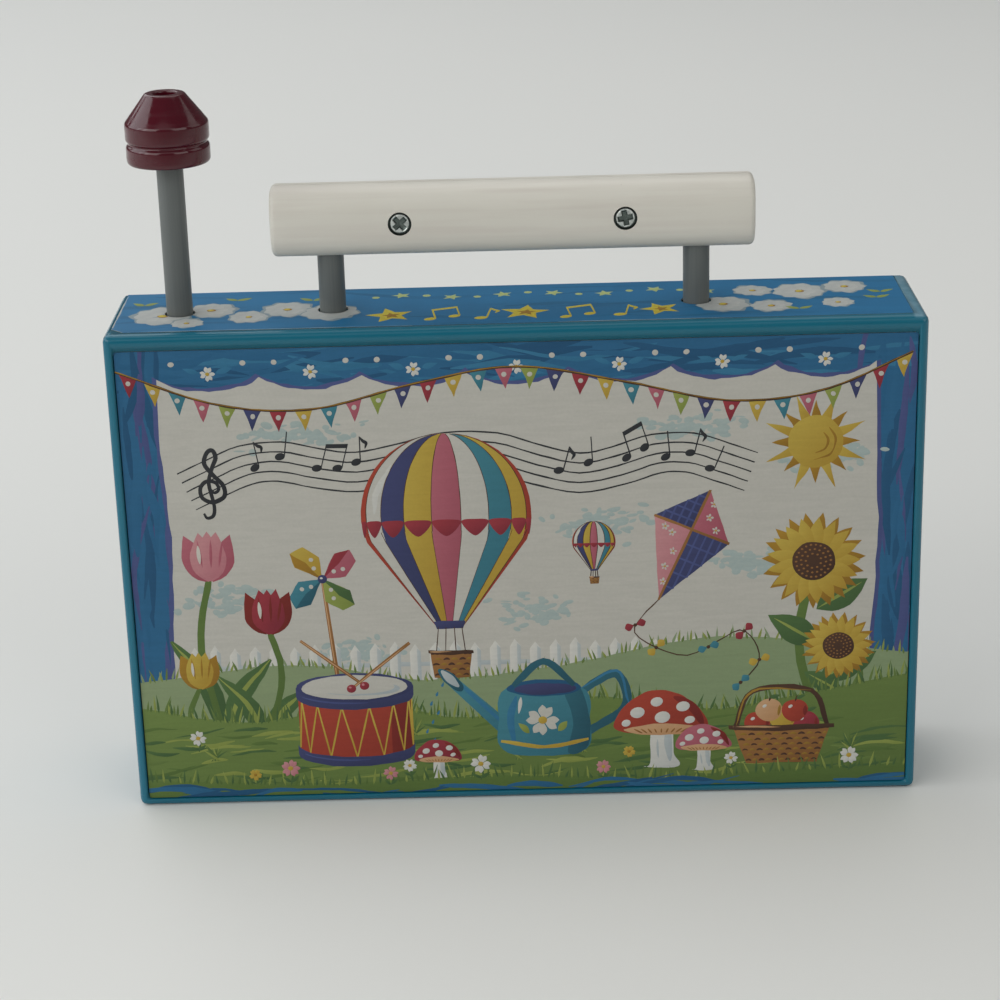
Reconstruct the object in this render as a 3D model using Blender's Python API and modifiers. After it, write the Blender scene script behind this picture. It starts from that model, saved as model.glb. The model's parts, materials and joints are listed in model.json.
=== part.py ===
"""Wind-up radio toy: a moulded case with a carrying handle, a sliding antenna and a moving picture.

X runs along the case, to the right as the printed back is seen. Y runs from the printed back to the front
with the picture window and the winding knob. Z is up. The origin is the centre of the case's underside.
All lengths are in metres and all angles in radians.
"""
import math

import bmesh
import bpy
from mathutils import Matrix, Vector

# Fits shared by the whole toy
fit_gap = 0.0003
cut_overrun = 0.0020
root_sink = 0.0006
weld_distance = 0.000002
sharp_angle = math.radians(35)

# Case
case_width = 0.2410
case_depth = 0.0470
case_height = 0.1525
case_edge_radius = 0.0021
case_side_wall = 0.0028
case_bottom_wall = 0.0024
case_top_wall = 0.0046
case_front_wall = 0.0026
case_inner_corner = 0.0015
cover_pillar_radius = 0.0045
cover_pillar_inset = 0.0042

# Printed sheets
print_thickness = 0.0005
print_recess = 0.0005
print_corner = 0.0012
label_thickness = 0.0005
label_sink = 0.0001
label_left_margin = 0.0018
label_right_margin = 0.0042
label_back_margin = 0.0042
label_front_margin = 0.0016
label_cut_corner = 0.0040
label_hole_gap = 0.0006

# Rear cover
cover_thickness = 0.0025
cover_rib_height = 0.0015
cover_rib_thickness = 0.0014
cover_rib_spacing = 0.0520

# Handle and its posts
rod_radius = 0.00395
handle_length = 0.1423
post_inset = 0.01685
handle_screw_inset = 0.03815
handle_height = 0.0210
handle_depth = 0.0180
handle_lift = 0.0277
handle_roundness = 2.8
handle_end_radius = 0.0017
handle_wall = 0.0024
post_engagement = 0.0055
counterbore_radius = 0.0036
counterbore_depth = 0.0022
socket_radius = 0.0070
socket_depth = 0.0140
socket_floor = 0.0020

# Screws
screw_head_radius = 0.0031
screw_head_height = 0.0019
screw_shank_radius = 0.00125
screw_recess_width = 0.0009
screw_recess_tip = 0.0006
screw_recess_span = 0.0034
screw_recess_depth = 0.0009
handle_screw_length = 0.0110
post_screw_length = 0.0125
cover_screw_length = 0.0090
cover_screw_head_radius = 0.0026
movement_screw_length = 0.0060
frame_screw_length = 0.0055
comb_screw_length = 0.0050

# Antenna
antenna_inset = 0.0203
antenna_rod_end = 0.0600
antenna_hole_gap = 0.00045
antenna_knob_lift = 0.0460
antenna_knob_height = 0.0204
antenna_knob_radius = 0.0124
antenna_knob_top_radius = 0.0058
antenna_knob_dimple_radius = 0.0034
antenna_knob_dimple_depth = 0.0035
antenna_knob_socket_depth = 0.0150
antenna_ridge_share = 0.585
antenna_groove_shares = (0.345, 0.298, 0.255)
antenna_foot_share = 0.11
antenna_groove_depth = 0.0010
antenna_foot_round = 0.0009
guide_radius = 0.0080
guide_depth = 0.0140
collar_radius = 0.0054
collar_height = 0.0032
grip_strip = 0.0005
grip_height = 0.0050
grip_arm = 0.0080

# Picture window and sound slots
window_sill = 0.0320
window_top_margin = 0.0285
window_right_margin = 0.0205
window_left_margin = 0.0100
window_corner = 0.0120
bezel_width = 0.0040
bezel_height = 0.0020
pane_overlap = 0.0030
pane_thickness = 0.0015
sound_slot_count = 7
sound_slot_length = 0.0340
sound_slot_width = 0.0024
sound_slot_pitch = 0.0055
sound_slot_gap = 0.0290

# Picture scroll
roller_radius = 0.0080
roller_journal_radius = 0.0020
roller_journal_length = 0.0075
belt_thickness = 0.0004
belt_margin = 0.0010
belt_pane_gap = 0.0025
roller_end_margin = 0.0005
right_roller_margin = 0.0045
rail_thickness = 0.0025
rail_end_margin = 0.0085
rail_back_margin = 0.0040
rail_pane_gap = 0.0011
tie_bar_width = 0.0080
tie_bar_thickness = 0.0020
tie_bar_inset = 0.0350
tab_width = 0.0110
tab_height = 0.0090
tab_thickness = 0.0020
tab_inset = 0.0160
frame_boss_radius = 0.0035

# Winding knob, spring and great wheel
knob_inset = 0.0485
knob_radius = 0.0190
knob_height = 0.0120
knob_flutes = 12
knob_flute_depth = 0.0012
knob_edge_radius = 0.0012
knob_front_gap = 0.0006
knob_socket_depth = 0.0090
arbor_radius = 0.0020
arbor_tail = 0.0008
spring_radius = 0.0130
spring_wall = 0.0010
spring_depth = 0.0090
mainspring_turns = 4
mainspring_strip = 0.0005
mainspring_side_gap = 0.0010
great_wheel_teeth = 30
great_wheel_thickness = 0.0018
great_wheel_tooth_height = 0.0018
great_wheel_tooth_length = 0.0024
great_wheel_tooth_width = 0.0011
great_wheel_rim = 0.0004
great_wheel_clearance = 0.0012
crown_tip_gap = 0.00045

# Gears
pressure_angle = math.radians(20)
addendum_share = 0.8
dedendum_share = 1.15
backlash = 0.00025
pinion_module = 0.00096
pinion_teeth = 10
train_module = 0.0010
cylinder_gear_teeth = 20
scroll_idler_teeth = 16
roller_gear_teeth = 20
governor_pinion_teeth = 10
governor_module = 0.0006
governor_wheel_teeth = 22
fan_pinion_teeth = 10
train_gear_thickness = 0.0030
governor_gear_thickness = 0.0020
gear_stack_gap = 0.0008

# Movement bedplate
bedplate_thickness = 0.0015
movement_boss_radius = 0.0035
bracket_thickness = 0.0015
bracket_edge = 0.0050
bedplate_left_edge = 0.0220
bedplate_right_edge = 0.0240
bedplate_margin = 0.0025
bedplate_corner = 0.0030

# Cylinder and comb
cylinder_shaft_radius = 0.0012
drum_radius = 0.0070
drum_end_margin = 0.0004
pin_radius = 0.00028
pin_height = 0.0006
pin_rows = 18
pins_in_row = 3
comb_pitch = 0.0013
comb_slot = 0.00035
comb_thickness = 0.0010
comb_tooth_long = 0.0088
comb_tooth_short = 0.0062
comb_base = 0.0072
comb_drum_gap = 0.0003

# Governor
fan_radius = 0.0075
fan_height = 0.0110
fan_blade = 0.0008
fan_hub_radius = 0.0022
fan_gap = 0.0020
fan_bearing = math.radians(60)

# Places worked out from the sizes above
case_left = -case_width / 2
case_right = case_width / 2
case_back = -case_depth / 2
case_front = case_depth / 2
inside_left = case_left + case_side_wall
inside_right = case_right - case_side_wall
inside_front = case_front - case_front_wall
ceiling = case_height - case_top_wall

print_back = case_back + print_recess
cover_back = print_back + print_thickness + fit_gap
cover_front = cover_back + cover_thickness

antenna_x = case_left + antenna_inset
post_spacing = handle_length - 2 * post_inset
handle_screw_spacing = handle_length - 2 * handle_screw_inset
post_places = (-post_spacing / 2, post_spacing / 2)
handle_centre = case_height + handle_lift
handle_screw_places = (-handle_screw_spacing / 2, handle_screw_spacing / 2)
knob_bottom = case_height + antenna_knob_lift
rod_bore = rod_radius + fit_gap
screw_pilot = screw_shank_radius + fit_gap

# The picture runs behind the pane, and the rollers stand behind the picture.
pane_front = inside_front - fit_gap
pane_back = pane_front - pane_thickness
belt_front = pane_back - belt_pane_gap
roller_y = belt_front - belt_thickness - fit_gap - roller_radius
belt_radius = roller_radius + fit_gap
window_head = case_height - window_top_margin
belt_low = window_sill - belt_margin
belt_high = window_head + belt_margin
roller_low = belt_low - roller_end_margin
roller_high = belt_high + roller_end_margin
low_rail_top = roller_low - fit_gap
low_rail_bottom = low_rail_top - rail_thickness
high_rail_bottom = roller_high + fit_gap
high_rail_top = high_rail_bottom + rail_thickness

# The scroll gears hang below the lower rail, and the great wheel clears the bracket above them.
scroll_gear_high = low_rail_bottom - gear_stack_gap
scroll_gear_low = scroll_gear_high - train_gear_thickness
low_bracket_bottom = low_rail_bottom
low_bracket_top = low_bracket_bottom + bracket_thickness
pinion_radius = pinion_module * pinion_teeth / 2
pinion_tip_radius = pinion_radius + addendum_share * pinion_module
great_wheel_pitch_radius = pinion_radius * great_wheel_teeth / pinion_teeth
great_wheel_inner_radius = great_wheel_pitch_radius - great_wheel_tooth_length / 2
great_wheel_outer_radius = great_wheel_pitch_radius + great_wheel_tooth_length / 2
great_wheel_radius = great_wheel_outer_radius + great_wheel_rim
winder_x = case_left + knob_inset
winder_z = low_bracket_top + great_wheel_clearance + great_wheel_radius

# Depth of the movement, which stands midway between the front wall and the rear cover
gear_tip_radius = train_module * (cylinder_gear_teeth / 2 + addendum_share)
movement_depth = (bedplate_thickness + fit_gap + spring_depth + fit_gap + great_wheel_thickness + crown_tip_gap
                  + pinion_tip_radius + gear_tip_radius)
movement_room = (inside_front - cover_front - movement_depth) / 2
movement_boss_length = movement_room - fit_gap
bedplate_front = inside_front - movement_room
bedplate_back = bedplate_front - bedplate_thickness
spring_front = bedplate_back - fit_gap
spring_back = spring_front - spring_depth
great_wheel_front = spring_back - fit_gap
great_wheel_back = great_wheel_front - great_wheel_thickness
cylinder_x = winder_x
cylinder_y = great_wheel_back - crown_tip_gap - pinion_tip_radius

# Height of the movement's brackets and gears
pinion_low = winder_z + great_wheel_inner_radius
pinion_high = winder_z + great_wheel_outer_radius
middle_bracket_bottom = winder_z + great_wheel_radius + gear_stack_gap
middle_bracket_top = middle_bracket_bottom + bracket_thickness
drum_low = middle_bracket_top + gear_stack_gap
drum_high = drum_low + pin_rows * comb_pitch + 2 * drum_end_margin
high_bracket_bottom = drum_high + gear_stack_gap
high_bracket_top = high_bracket_bottom + bracket_thickness
cylinder_gear_low = high_bracket_top + gear_stack_gap
cylinder_gear_high = cylinder_gear_low + train_gear_thickness
governor_gear_low = cylinder_gear_high + gear_stack_gap
governor_gear_high = governor_gear_low + governor_gear_thickness
fan_low = governor_gear_high + fan_gap
fan_high = fan_low + fan_height
top_bracket_bottom = fan_high + gear_stack_gap
top_bracket_top = top_bracket_bottom + bracket_thickness

# Gear centres. The scroll train runs straight from the cylinder to the left roller.
idler_distance = train_module * (cylinder_gear_teeth + scroll_idler_teeth) / 2
roller_distance = train_module * (scroll_idler_teeth + roller_gear_teeth) / 2
scroll_span = idler_distance + roller_distance
left_roller_x = cylinder_x + math.sqrt(scroll_span ** 2 - (roller_y - cylinder_y) ** 2)
scroll_bearing = math.atan2(roller_y - cylinder_y, left_roller_x - cylinder_x)
idler_x = cylinder_x + idler_distance * math.cos(scroll_bearing)
idler_y = cylinder_y + idler_distance * math.sin(scroll_bearing)
governor_distance = train_module * (cylinder_gear_teeth + governor_pinion_teeth) / 2
governor_x = cylinder_x - governor_distance
governor_y = cylinder_y
fan_distance = governor_module * (governor_wheel_teeth + fan_pinion_teeth) / 2
fan_x = governor_x + fan_distance * math.cos(fan_bearing)
fan_y = governor_y + fan_distance * math.sin(fan_bearing)

window_left = left_roller_x + window_left_margin
window_right = case_right - window_right_margin
right_roller_x = window_right + right_roller_margin

comb_tip_x = cylinder_x + drum_radius + pin_height + comb_drum_gap
comb_root_x = comb_tip_x + comb_tooth_long + comb_base
comb_block_back = cylinder_y + comb_thickness / 2 + fit_gap
bedplate_left = winder_x - bedplate_left_edge
bedplate_right = winder_x + bedplate_right_edge
bedplate_bottom = low_bracket_bottom - bedplate_margin
bedplate_top = top_bracket_top + bedplate_margin

# Local axes of a piece that is drawn from the back: X, Y and Z are the toy's X, Z and -Y.
UPRIGHT = (0.0, 0.0, 0.0)
FROM_BACK = (math.pi / 2, 0.0, 0.0)
FROM_FRONT = (-math.pi / 2, 0.0, 0.0)
UPSIDE_DOWN = (math.pi, 0.0, 0.0)


def new_collection(name):
    """A collection linked into the scene."""
    collection = bpy.data.collections.new(name)
    bpy.context.scene.collection.children.link(collection)
    return collection


def new_material(name, colour, roughness, metallic=0.0):
    """A Principled material with one linear colour."""
    material = bpy.data.materials.new(name)
    material.use_nodes = True
    shader = material.node_tree.nodes["Principled BSDF"]
    shader.inputs["Base Color"].default_value = (*colour, 1.0)
    shader.inputs["Roughness"].default_value = roughness
    shader.inputs["Metallic"].default_value = metallic
    material.diffuse_color = (*colour, 1.0)
    return material


def put(name, mesh, material, place, turn, parent=None):
    """A part, or a cutter when it has no material, at its place and turn."""
    piece = bpy.data.objects.new(name, mesh)
    mesh.name = name
    piece.rotation_euler = turn
    piece.location = place
    if parent:
        piece.parent = parent
        piece.location = Vector(place) - parent.location
    if material:
        mesh.materials.append(material)
        parts.objects.link(piece)
    else:
        piece.hide_render = True
        piece.display_type = "WIRE"
        cutters.objects.link(piece)
    return piece


def axis_guide(name, place):
    """An empty on a joint's axis, which carries the pieces that turn or slide with it."""
    guide = bpy.data.objects.new(name, None)
    guide.location = place
    parts.objects.link(guide)
    return guide


def smooth(piece):
    """Smooth shading that keeps the real edges sharp."""
    piece.data.shade_smooth()
    piece.data.set_sharp_from_angle(angle=sharp_angle)
    return piece


def combine(host, tool, operation):
    """One Boolean step on the host, which stays a closed solid."""
    step = host.modifiers.new(f"{operation.lower()} {tool.name}", "BOOLEAN")
    step.operation = operation
    step.object = tool
    step.solver = "MANIFOLD"
    return host


def cut(host, tool):
    """The host without the tool's space."""
    return combine(host, tool, "DIFFERENCE")


def join(host, tool):
    """The host and the tool as one moulding."""
    return combine(host, tool, "UNION")


def round_edges(piece, radius, segments=2, angle=math.radians(50)):
    """Rounded edges where faces meet at more than the angle."""
    step = piece.modifiers.new("rounded edges", "BEVEL")
    step.width = radius
    step.segments = segments
    step.limit_method = "ANGLE"
    step.angle_limit = angle
    return piece


def blocks(name, material, boxes, parent=None):
    """Boxes given by their low and high corners, as one mesh of separate bodies."""
    shape = bmesh.new()
    for low, high in boxes:
        low, high = Vector(low), Vector(high)
        place = Matrix.Translation((low + high) / 2) @ Matrix.Diagonal((*(high - low), 1.0))
        bmesh.ops.create_cube(shape, size=1, matrix=place)
    mesh = bpy.data.meshes.new(name)
    shape.to_mesh(mesh)
    shape.free()
    return put(name, mesh, material, (0, 0, 0), UPRIGHT, parent)


def cylinders(name, material, places, radius, low, high, turn=UPRIGHT, sides=16, parent=None):
    """Equal cylinders on parallel axes, between two heights along the local Z axis.

    Places are the axes' points in the toy's frame. The first one is the object's origin.
    """
    shape = bmesh.new()
    back = Matrix.Rotation(-turn[0], 4, "X")
    for place in places:
        offset = back @ (Vector(place) - Vector(places[0]))
        offset.z += (low + high) / 2
        bmesh.ops.create_cone(shape, cap_ends=True, segments=sides, radius1=radius, radius2=radius,
                              depth=high - low, matrix=Matrix.Translation(offset))
    mesh = bpy.data.meshes.new(name)
    shape.to_mesh(mesh)
    shape.free()
    return smooth(put(name, mesh, material, places[0], turn, parent))


def turned(name, material, profile, place, turn=UPRIGHT, sides=24, ring=False, parent=None):
    """A profile of (radius, height) points turned about the local Z axis.

    The profile runs down its outer side. A ring's profile closes on itself, any other ends on the axis.
    """
    shape = bmesh.new()
    points = [shape.verts.new((radius, 0, height)) for radius, height in profile]
    for first, second in zip(points, points[1:]):
        shape.edges.new((first, second))
    if ring:
        shape.edges.new((points[-1], points[0]))
    mesh = bpy.data.meshes.new(name)
    shape.to_mesh(mesh)
    shape.free()
    piece = put(name, mesh, material, place, turn, parent)
    step = piece.modifiers.new("turned", "SCREW")
    step.axis = "Z"
    step.angle = 2 * math.pi
    step.steps = sides
    step.render_steps = sides
    step.use_merge_vertices = True
    step.merge_threshold = weld_distance
    step.use_smooth_shade = True
    return piece


def drawn(name, material, outlines, low, high, place=(0, 0, 0), turn=UPRIGHT, parent=None):
    """Flat outlines, filled and given a thickness between two heights along the local Z axis.

    The first outline is the outer one, and the others are holes in it. They are drawn as a 2D curve,
    which is then made a mesh with its caps welded on.
    """
    curve = bpy.data.curves.new(name, "CURVE")
    curve.dimensions = "2D"
    curve.fill_mode = "BOTH"
    curve.extrude = (high - low) / 2
    for outline in outlines:
        spline = curve.splines.new("POLY")
        spline.points.add(len(outline) - 1)
        for point, (x, y) in zip(spline.points, outline):
            point.co = (x, y, 0, 1)
        spline.use_cyclic_u = True
    drawing = bpy.data.objects.new(name, curve)
    bpy.context.scene.collection.objects.link(drawing)
    graph = bpy.context.evaluated_depsgraph_get()
    mesh = bpy.data.meshes.new_from_object(drawing.evaluated_get(graph))
    bpy.data.objects.remove(drawing, do_unlink=True)
    bpy.data.curves.remove(curve)
    shape = bmesh.new()
    shape.from_mesh(mesh)
    bmesh.ops.remove_doubles(shape, verts=shape.verts, dist=weld_distance)
    bmesh.ops.translate(shape, verts=shape.verts, vec=(0, 0, (low + high) / 2))
    bmesh.ops.recalc_face_normals(shape, faces=shape.faces)
    shape.to_mesh(mesh)
    shape.free()
    return smooth(put(name, mesh, material, place, turn, parent))


def circle(radius, sides=24, centre=(0, 0)):
    """Points round a circle."""
    return [(centre[0] + radius * math.cos(2 * math.pi * step / sides),
             centre[1] + radius * math.sin(2 * math.pi * step / sides)) for step in range(sides)]


def arc(centre, radius, start, end, steps):
    """Points along an arc, both ends included."""
    angles = [start + (end - start) * step / steps for step in range(steps + 1)]
    return [(centre[0] + radius * math.cos(angle), centre[1] + radius * math.sin(angle)) for angle in angles]


def rounded_rectangle(left, right, bottom, top, radius, steps=2):
    """A rectangle with a quarter circle at each corner."""
    corners = ((right - radius, top - radius), (left + radius, top - radius),
               (left + radius, bottom + radius), (right - radius, bottom + radius))
    outline = []
    for quarter, corner in enumerate(corners):
        outline += arc(corner, radius, quarter * math.pi / 2, (quarter + 1) * math.pi / 2, steps)
    return outline


def involute(angle):
    """The involute function, tan(angle) - angle."""
    return math.tan(angle) - angle


def gear_outline(teeth, module, first_tooth):
    """Involute spur teeth with straight chords, thinned by the backlash.

    At each radius a tooth's half angle is its pitch half angle, plus the involute of the pressure angle,
    less the involute of the pressure angle at that radius. Below the base circle the flank is radial.
    """
    pitch_radius = module * teeth / 2
    base_radius = pitch_radius * math.cos(pressure_angle)
    root_radius = pitch_radius - dedendum_share * module
    tip_radius = pitch_radius + addendum_share * module
    pitch_half = math.pi / (2 * teeth) - backlash / (2 * pitch_radius)
    flank = []
    for radius in (root_radius, tip_radius):
        local_pressure = math.acos(min(1.0, base_radius / radius))
        flank.append((radius, pitch_half + involute(pressure_angle) - involute(local_pressure)))
    outline = []
    for tooth in range(teeth):
        centre = first_tooth + 2 * math.pi * tooth / teeth
        outline += [(radius * math.cos(centre - half), radius * math.sin(centre - half))
                    for radius, half in flank]
        outline += [(radius * math.cos(centre + half), radius * math.sin(centre + half))
                    for radius, half in reversed(flank)]
    return outline


def meshing_tooth(bearing, teeth, driver_teeth, driver_tooth):
    """Where a gear's first tooth goes so that it meshes with its driver.

    Bearing is the direction from the driver to the gear. The driver's tooth that is nearest to it lies a
    part of a pitch away, and the gear's gap has to lie as far off on the other side.
    """
    pitch_part = (bearing - driver_tooth) * driver_teeth / (2 * math.pi) % 1.0
    return bearing + math.pi + (pitch_part + 0.5) * 2 * math.pi / teeth


def screw(name, place, turn, length, recess=False):
    """A pan-head screw: the head stands up along the local Z axis and the shank runs down from the origin."""
    flat_radius = screw_head_radius - screw_head_height / 2
    profile = [(0, screw_head_height), (flat_radius, screw_head_height),
               (screw_head_radius, screw_head_height / 2), (screw_head_radius, 0), (screw_shank_radius, 0),
               (screw_shank_radius, -length), (0, -length)]
    piece = turned(name, plated_steel, profile, place, turn, sides=20 if recess else 8)
    if recess:
        floor = screw_head_height - screw_recess_depth
        roof = screw_head_height + cut_overrun
        half_span = screw_recess_span / 2
        half_width = screw_recess_width / 2
        half_tip = screw_recess_tip / 2
        cross = [(half_span, half_tip), (half_width, half_width), (half_tip, half_span),
                 (-half_tip, half_span), (-half_width, half_width), (-half_span, half_tip),
                 (-half_span, -half_tip), (-half_width, -half_width), (-half_tip, -half_span),
                 (half_tip, -half_span), (half_width, -half_width), (half_span, -half_tip)]
        cut(piece, drawn(f"{name} recess", None, [cross], floor, roof, place, turn))
    return piece


def case_shell():
    """The moulding of walls, front, sockets, pillars and bosses, open to the back."""
    corners = (case_left, case_back, 0), (case_right, case_front, case_height)
    shell = blocks("case_shell", teal_plastic, [corners])
    round_edges(shell, case_edge_radius, segments=3)
    inside = rounded_rectangle(inside_left, inside_right, case_bottom_wall, ceiling, case_inner_corner)
    cut(shell, drawn("case inside", None, [inside], -inside_front, cut_overrun - case_back, turn=FROM_BACK))

    opening = rounded_rectangle(window_left, window_right, window_sill, window_head, window_corner, steps=5)
    frame = rounded_rectangle(window_left - bezel_width, window_right + bezel_width,
                              window_sill - bezel_width, window_head + bezel_width,
                              window_corner + bezel_width, steps=5)
    bezel = drawn("window bezel", None, [frame], -case_front - bezel_height, root_sink - case_front,
                  turn=FROM_BACK)
    round_edges(bezel, bezel_height / 2, segments=1)
    join(shell, bezel)

    wall_root = inside_front + root_sink
    cover_end = cover_front + fit_gap
    cover_screws = [(x, 0, z) for x, z in cover_screw_places()]
    movement_screws = [(x, 0, z) for x, z in movement_screw_places()]
    frame_screws = [(x, 0, z) for x, z in frame_screw_places()]
    join(shell, cylinders("cover pillars", None, cover_screws, cover_pillar_radius, -wall_root, -cover_end,
                          turn=FROM_BACK, sides=10))
    join(shell, cylinders("movement bosses", None, movement_screws, movement_boss_radius, -wall_root,
                          movement_boss_length - inside_front, turn=FROM_BACK, sides=10))
    frame_seat = rail_front() + fit_gap
    join(shell, cylinders("frame bosses", None, frame_screws, frame_boss_radius, -wall_root, -frame_seat,
                          turn=FROM_BACK, sides=10))
    join(shell, cylinders("post sockets", None, [(x, 0, 0) for x in post_places], socket_radius,
                          ceiling - socket_depth, ceiling + root_sink))
    join(shell, cylinders("antenna guide", None, [(antenna_x, 0, 0)], guide_radius, ceiling - guide_depth,
                          ceiling + root_sink))

    cut(shell, drawn("label recess", None, [label_outline(fit_gap)],
                     case_height - label_sink - label_thickness - fit_gap, case_height + cut_overrun))
    socket_bottom = ceiling - socket_depth
    bore_floor = socket_bottom + socket_floor
    for number, x in enumerate(post_places):
        steps = [(0, case_height + cut_overrun), (rod_bore, case_height + cut_overrun),
                 (rod_bore, bore_floor), (screw_pilot, bore_floor),
                 (screw_pilot, socket_bottom - cut_overrun), (0, socket_bottom - cut_overrun)]
        cut(shell, turned(f"post bore {number}", None, steps, (x, 0, 0)))
    cut(shell, cylinders("antenna bore", None, [(antenna_x, 0, 0)], rod_radius + antenna_hole_gap,
                         ceiling - guide_depth - cut_overrun, case_height + cut_overrun, sides=24))
    slot_side = rod_bore + grip_strip + fit_gap
    slot_low, slot_high = grip_slot()
    cut(shell, blocks("grip slot", None, [((antenna_x - guide_radius - cut_overrun, -slot_side, slot_low),
                                           (antenna_x + guide_radius + cut_overrun, slot_side, slot_high))]))

    cut(shell, drawn("window opening", None, [opening], -case_front - bezel_height - cut_overrun,
                     cut_overrun - inside_front, turn=FROM_BACK))
    cut(shell, cylinders("arbor hole", None, [(winder_x, 0, winder_z)], arbor_radius + fit_gap,
                         -case_front - cut_overrun, cut_overrun - inside_front, turn=FROM_BACK))
    cut(shell, sound_slots())
    cut(shell, cylinders("cover pilots", None, cover_screws, screw_pilot, -cover_end - cover_screw_length,
                         cut_overrun - cover_end, turn=FROM_BACK, sides=8))
    movement_seat = inside_front - movement_boss_length
    cut(shell, cylinders("movement pilots", None, movement_screws, screw_pilot,
                         -movement_seat - movement_screw_length, cut_overrun - movement_seat,
                         turn=FROM_BACK, sides=8))
    frame_pilot_depth = frame_screw_length - tab_thickness
    cut(shell, cylinders("frame pilots", None, frame_screws, screw_pilot, -frame_seat - frame_pilot_depth,
                         cut_overrun - frame_seat, turn=FROM_BACK, sides=8))
    return shell


def sound_slots():
    """Round-ended slots through the front wall above the winding knob."""
    end_radius = sound_slot_width / 2
    reach = sound_slot_length / 2 - end_radius
    first = winder_z + knob_radius + sound_slot_gap
    shape = bmesh.new()
    for number in range(sound_slot_count):
        height = first + number * sound_slot_pitch
        ends = arc((reach, 0), end_radius, -math.pi / 2, math.pi / 2, 2)
        ends += arc((-reach, 0), end_radius, math.pi / 2, 3 * math.pi / 2, 2)
        rim = [shape.verts.new((winder_x + x, height + y, -case_front - cut_overrun)) for x, y in ends]
        face = shape.faces.new(rim)
        grown = bmesh.ops.extrude_face_region(shape, geom=[face])
        moved = [item for item in grown["geom"] if isinstance(item, bmesh.types.BMVert)]
        bmesh.ops.translate(shape, verts=moved, vec=(0, 0, case_front_wall + 2 * cut_overrun))
    bmesh.ops.recalc_face_normals(shape, faces=shape.faces)
    mesh = bpy.data.meshes.new("sound slots")
    shape.to_mesh(mesh)
    shape.free()
    return put("sound slots", mesh, None, (0, 0, 0), FROM_BACK)


def label_outline(growth):
    """The top label seen from above, with one corner cut off, grown all round."""
    left = case_left + label_left_margin - growth
    right = case_right - label_right_margin + growth
    back = case_back + label_back_margin - growth
    front = case_front - label_front_margin + growth
    return [(right, back), (right, front), (left, front), (left, back + label_cut_corner),
            (left + label_cut_corner, back)]


def cover_screw_places():
    """The four corner screws of the rear cover."""
    left = inside_left + cover_pillar_inset
    right = inside_right - cover_pillar_inset
    low = case_bottom_wall + cover_pillar_inset
    high = ceiling - cover_pillar_inset
    return [(left, low), (right, low), (left, high), (right, high)]


def movement_screw_places():
    """Two screws below the cylinder, either side of the great wheel, and one beside the cylinder."""
    edge = movement_boss_radius + bedplate_margin
    return [(bedplate_left + edge, bedplate_bottom + edge),
            (bedplate_right - edge, middle_bracket_bottom - edge),
            (bedplate_left + edge, high_bracket_bottom - edge)]


def frame_screw_places():
    """Two screws above the scroll frame and two below it."""
    left = window_left + tab_inset
    right = window_right - tab_inset
    low = low_rail_bottom - tab_height / 2
    high = high_rail_top + tab_height / 2
    return [(left, low), (right, low), (left, high), (right, high)]


def rail_front():
    """How far forward the scroll frame reaches."""
    return pane_back - rail_pane_gap


def grip_slot():
    """The lowest and highest point of the slot for the antenna's grip spring."""
    middle = ceiling - guide_depth / 2
    half = grip_height / 2 + fit_gap
    return middle - half, middle + half


def rear_cover():
    """The flat cover inside the rim, with stiffening ribs and countersunk screw holes."""
    left, right = inside_left + fit_gap, inside_right - fit_gap
    low, high = case_bottom_wall + fit_gap, ceiling - fit_gap
    outline = rounded_rectangle(left, right, low, high, case_inner_corner)
    cover = drawn("rear_cover", grey_plastic, [outline], -cover_front, -cover_back, turn=FROM_BACK)
    rib_low, rib_high = low + 2 * cover_pillar_inset, high - 2 * cover_pillar_inset
    ribs = [((x - cover_rib_thickness / 2, cover_front - root_sink, rib_low),
             (x + cover_rib_thickness / 2, cover_front + cover_rib_height, rib_high))
            for x in (-cover_rib_spacing, 0, cover_rib_spacing)]
    join(cover, blocks("cover ribs", None, ribs))
    mouth = cover_screw_head_radius + 2 * fit_gap
    for number, (x, z) in enumerate(cover_screw_places()):
        seat = [(0, cut_overrun), (mouth + cut_overrun, cut_overrun), (screw_pilot, screw_pilot - mouth),
                (screw_pilot, -cover_thickness - cut_overrun), (0, -cover_thickness - cut_overrun)]
        cut(cover, turned(f"cover screw hole {number}", None, seat, (x, cover_back, z), FROM_BACK, sides=12))
    names = ("lower_left", "lower_right", "upper_left", "upper_right")
    for name, (x, z) in zip(names, cover_screw_places()):
        cone = [(0, -fit_gap), (cover_screw_head_radius, -fit_gap),
                (screw_shank_radius, screw_shank_radius - cover_screw_head_radius - fit_gap),
                (screw_shank_radius, -cover_screw_length), (0, -cover_screw_length)]
        turned(f"cover_screw_{name}", plated_steel, cone, (x, cover_back, z), FROM_BACK, sides=10)
    sheet = rounded_rectangle(left, right, low, high, print_corner)
    drawn("rear_print_panel", printed_card, [sheet], -print_back - print_thickness, -print_back,
          turn=FROM_BACK)


def top_label():
    """The printed card in the recess on top, with a hole for each rod."""
    top = case_height - label_sink
    radius = rod_radius + label_hole_gap
    holes = [circle(radius, centre=(x, 0)) for x in (antenna_x, *post_places)]
    drawn("top_label", blue_card, [label_outline(0), *holes], top - label_thickness, top)


def picture_window():
    """The clear pane behind the window opening."""
    outline = rounded_rectangle(window_left - pane_overlap, window_right + pane_overlap,
                                window_sill - pane_overlap, window_head + pane_overlap, window_corner)
    drawn("picture_window", clear_plastic, [outline], -pane_front, -pane_back, turn=FROM_BACK)


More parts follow.
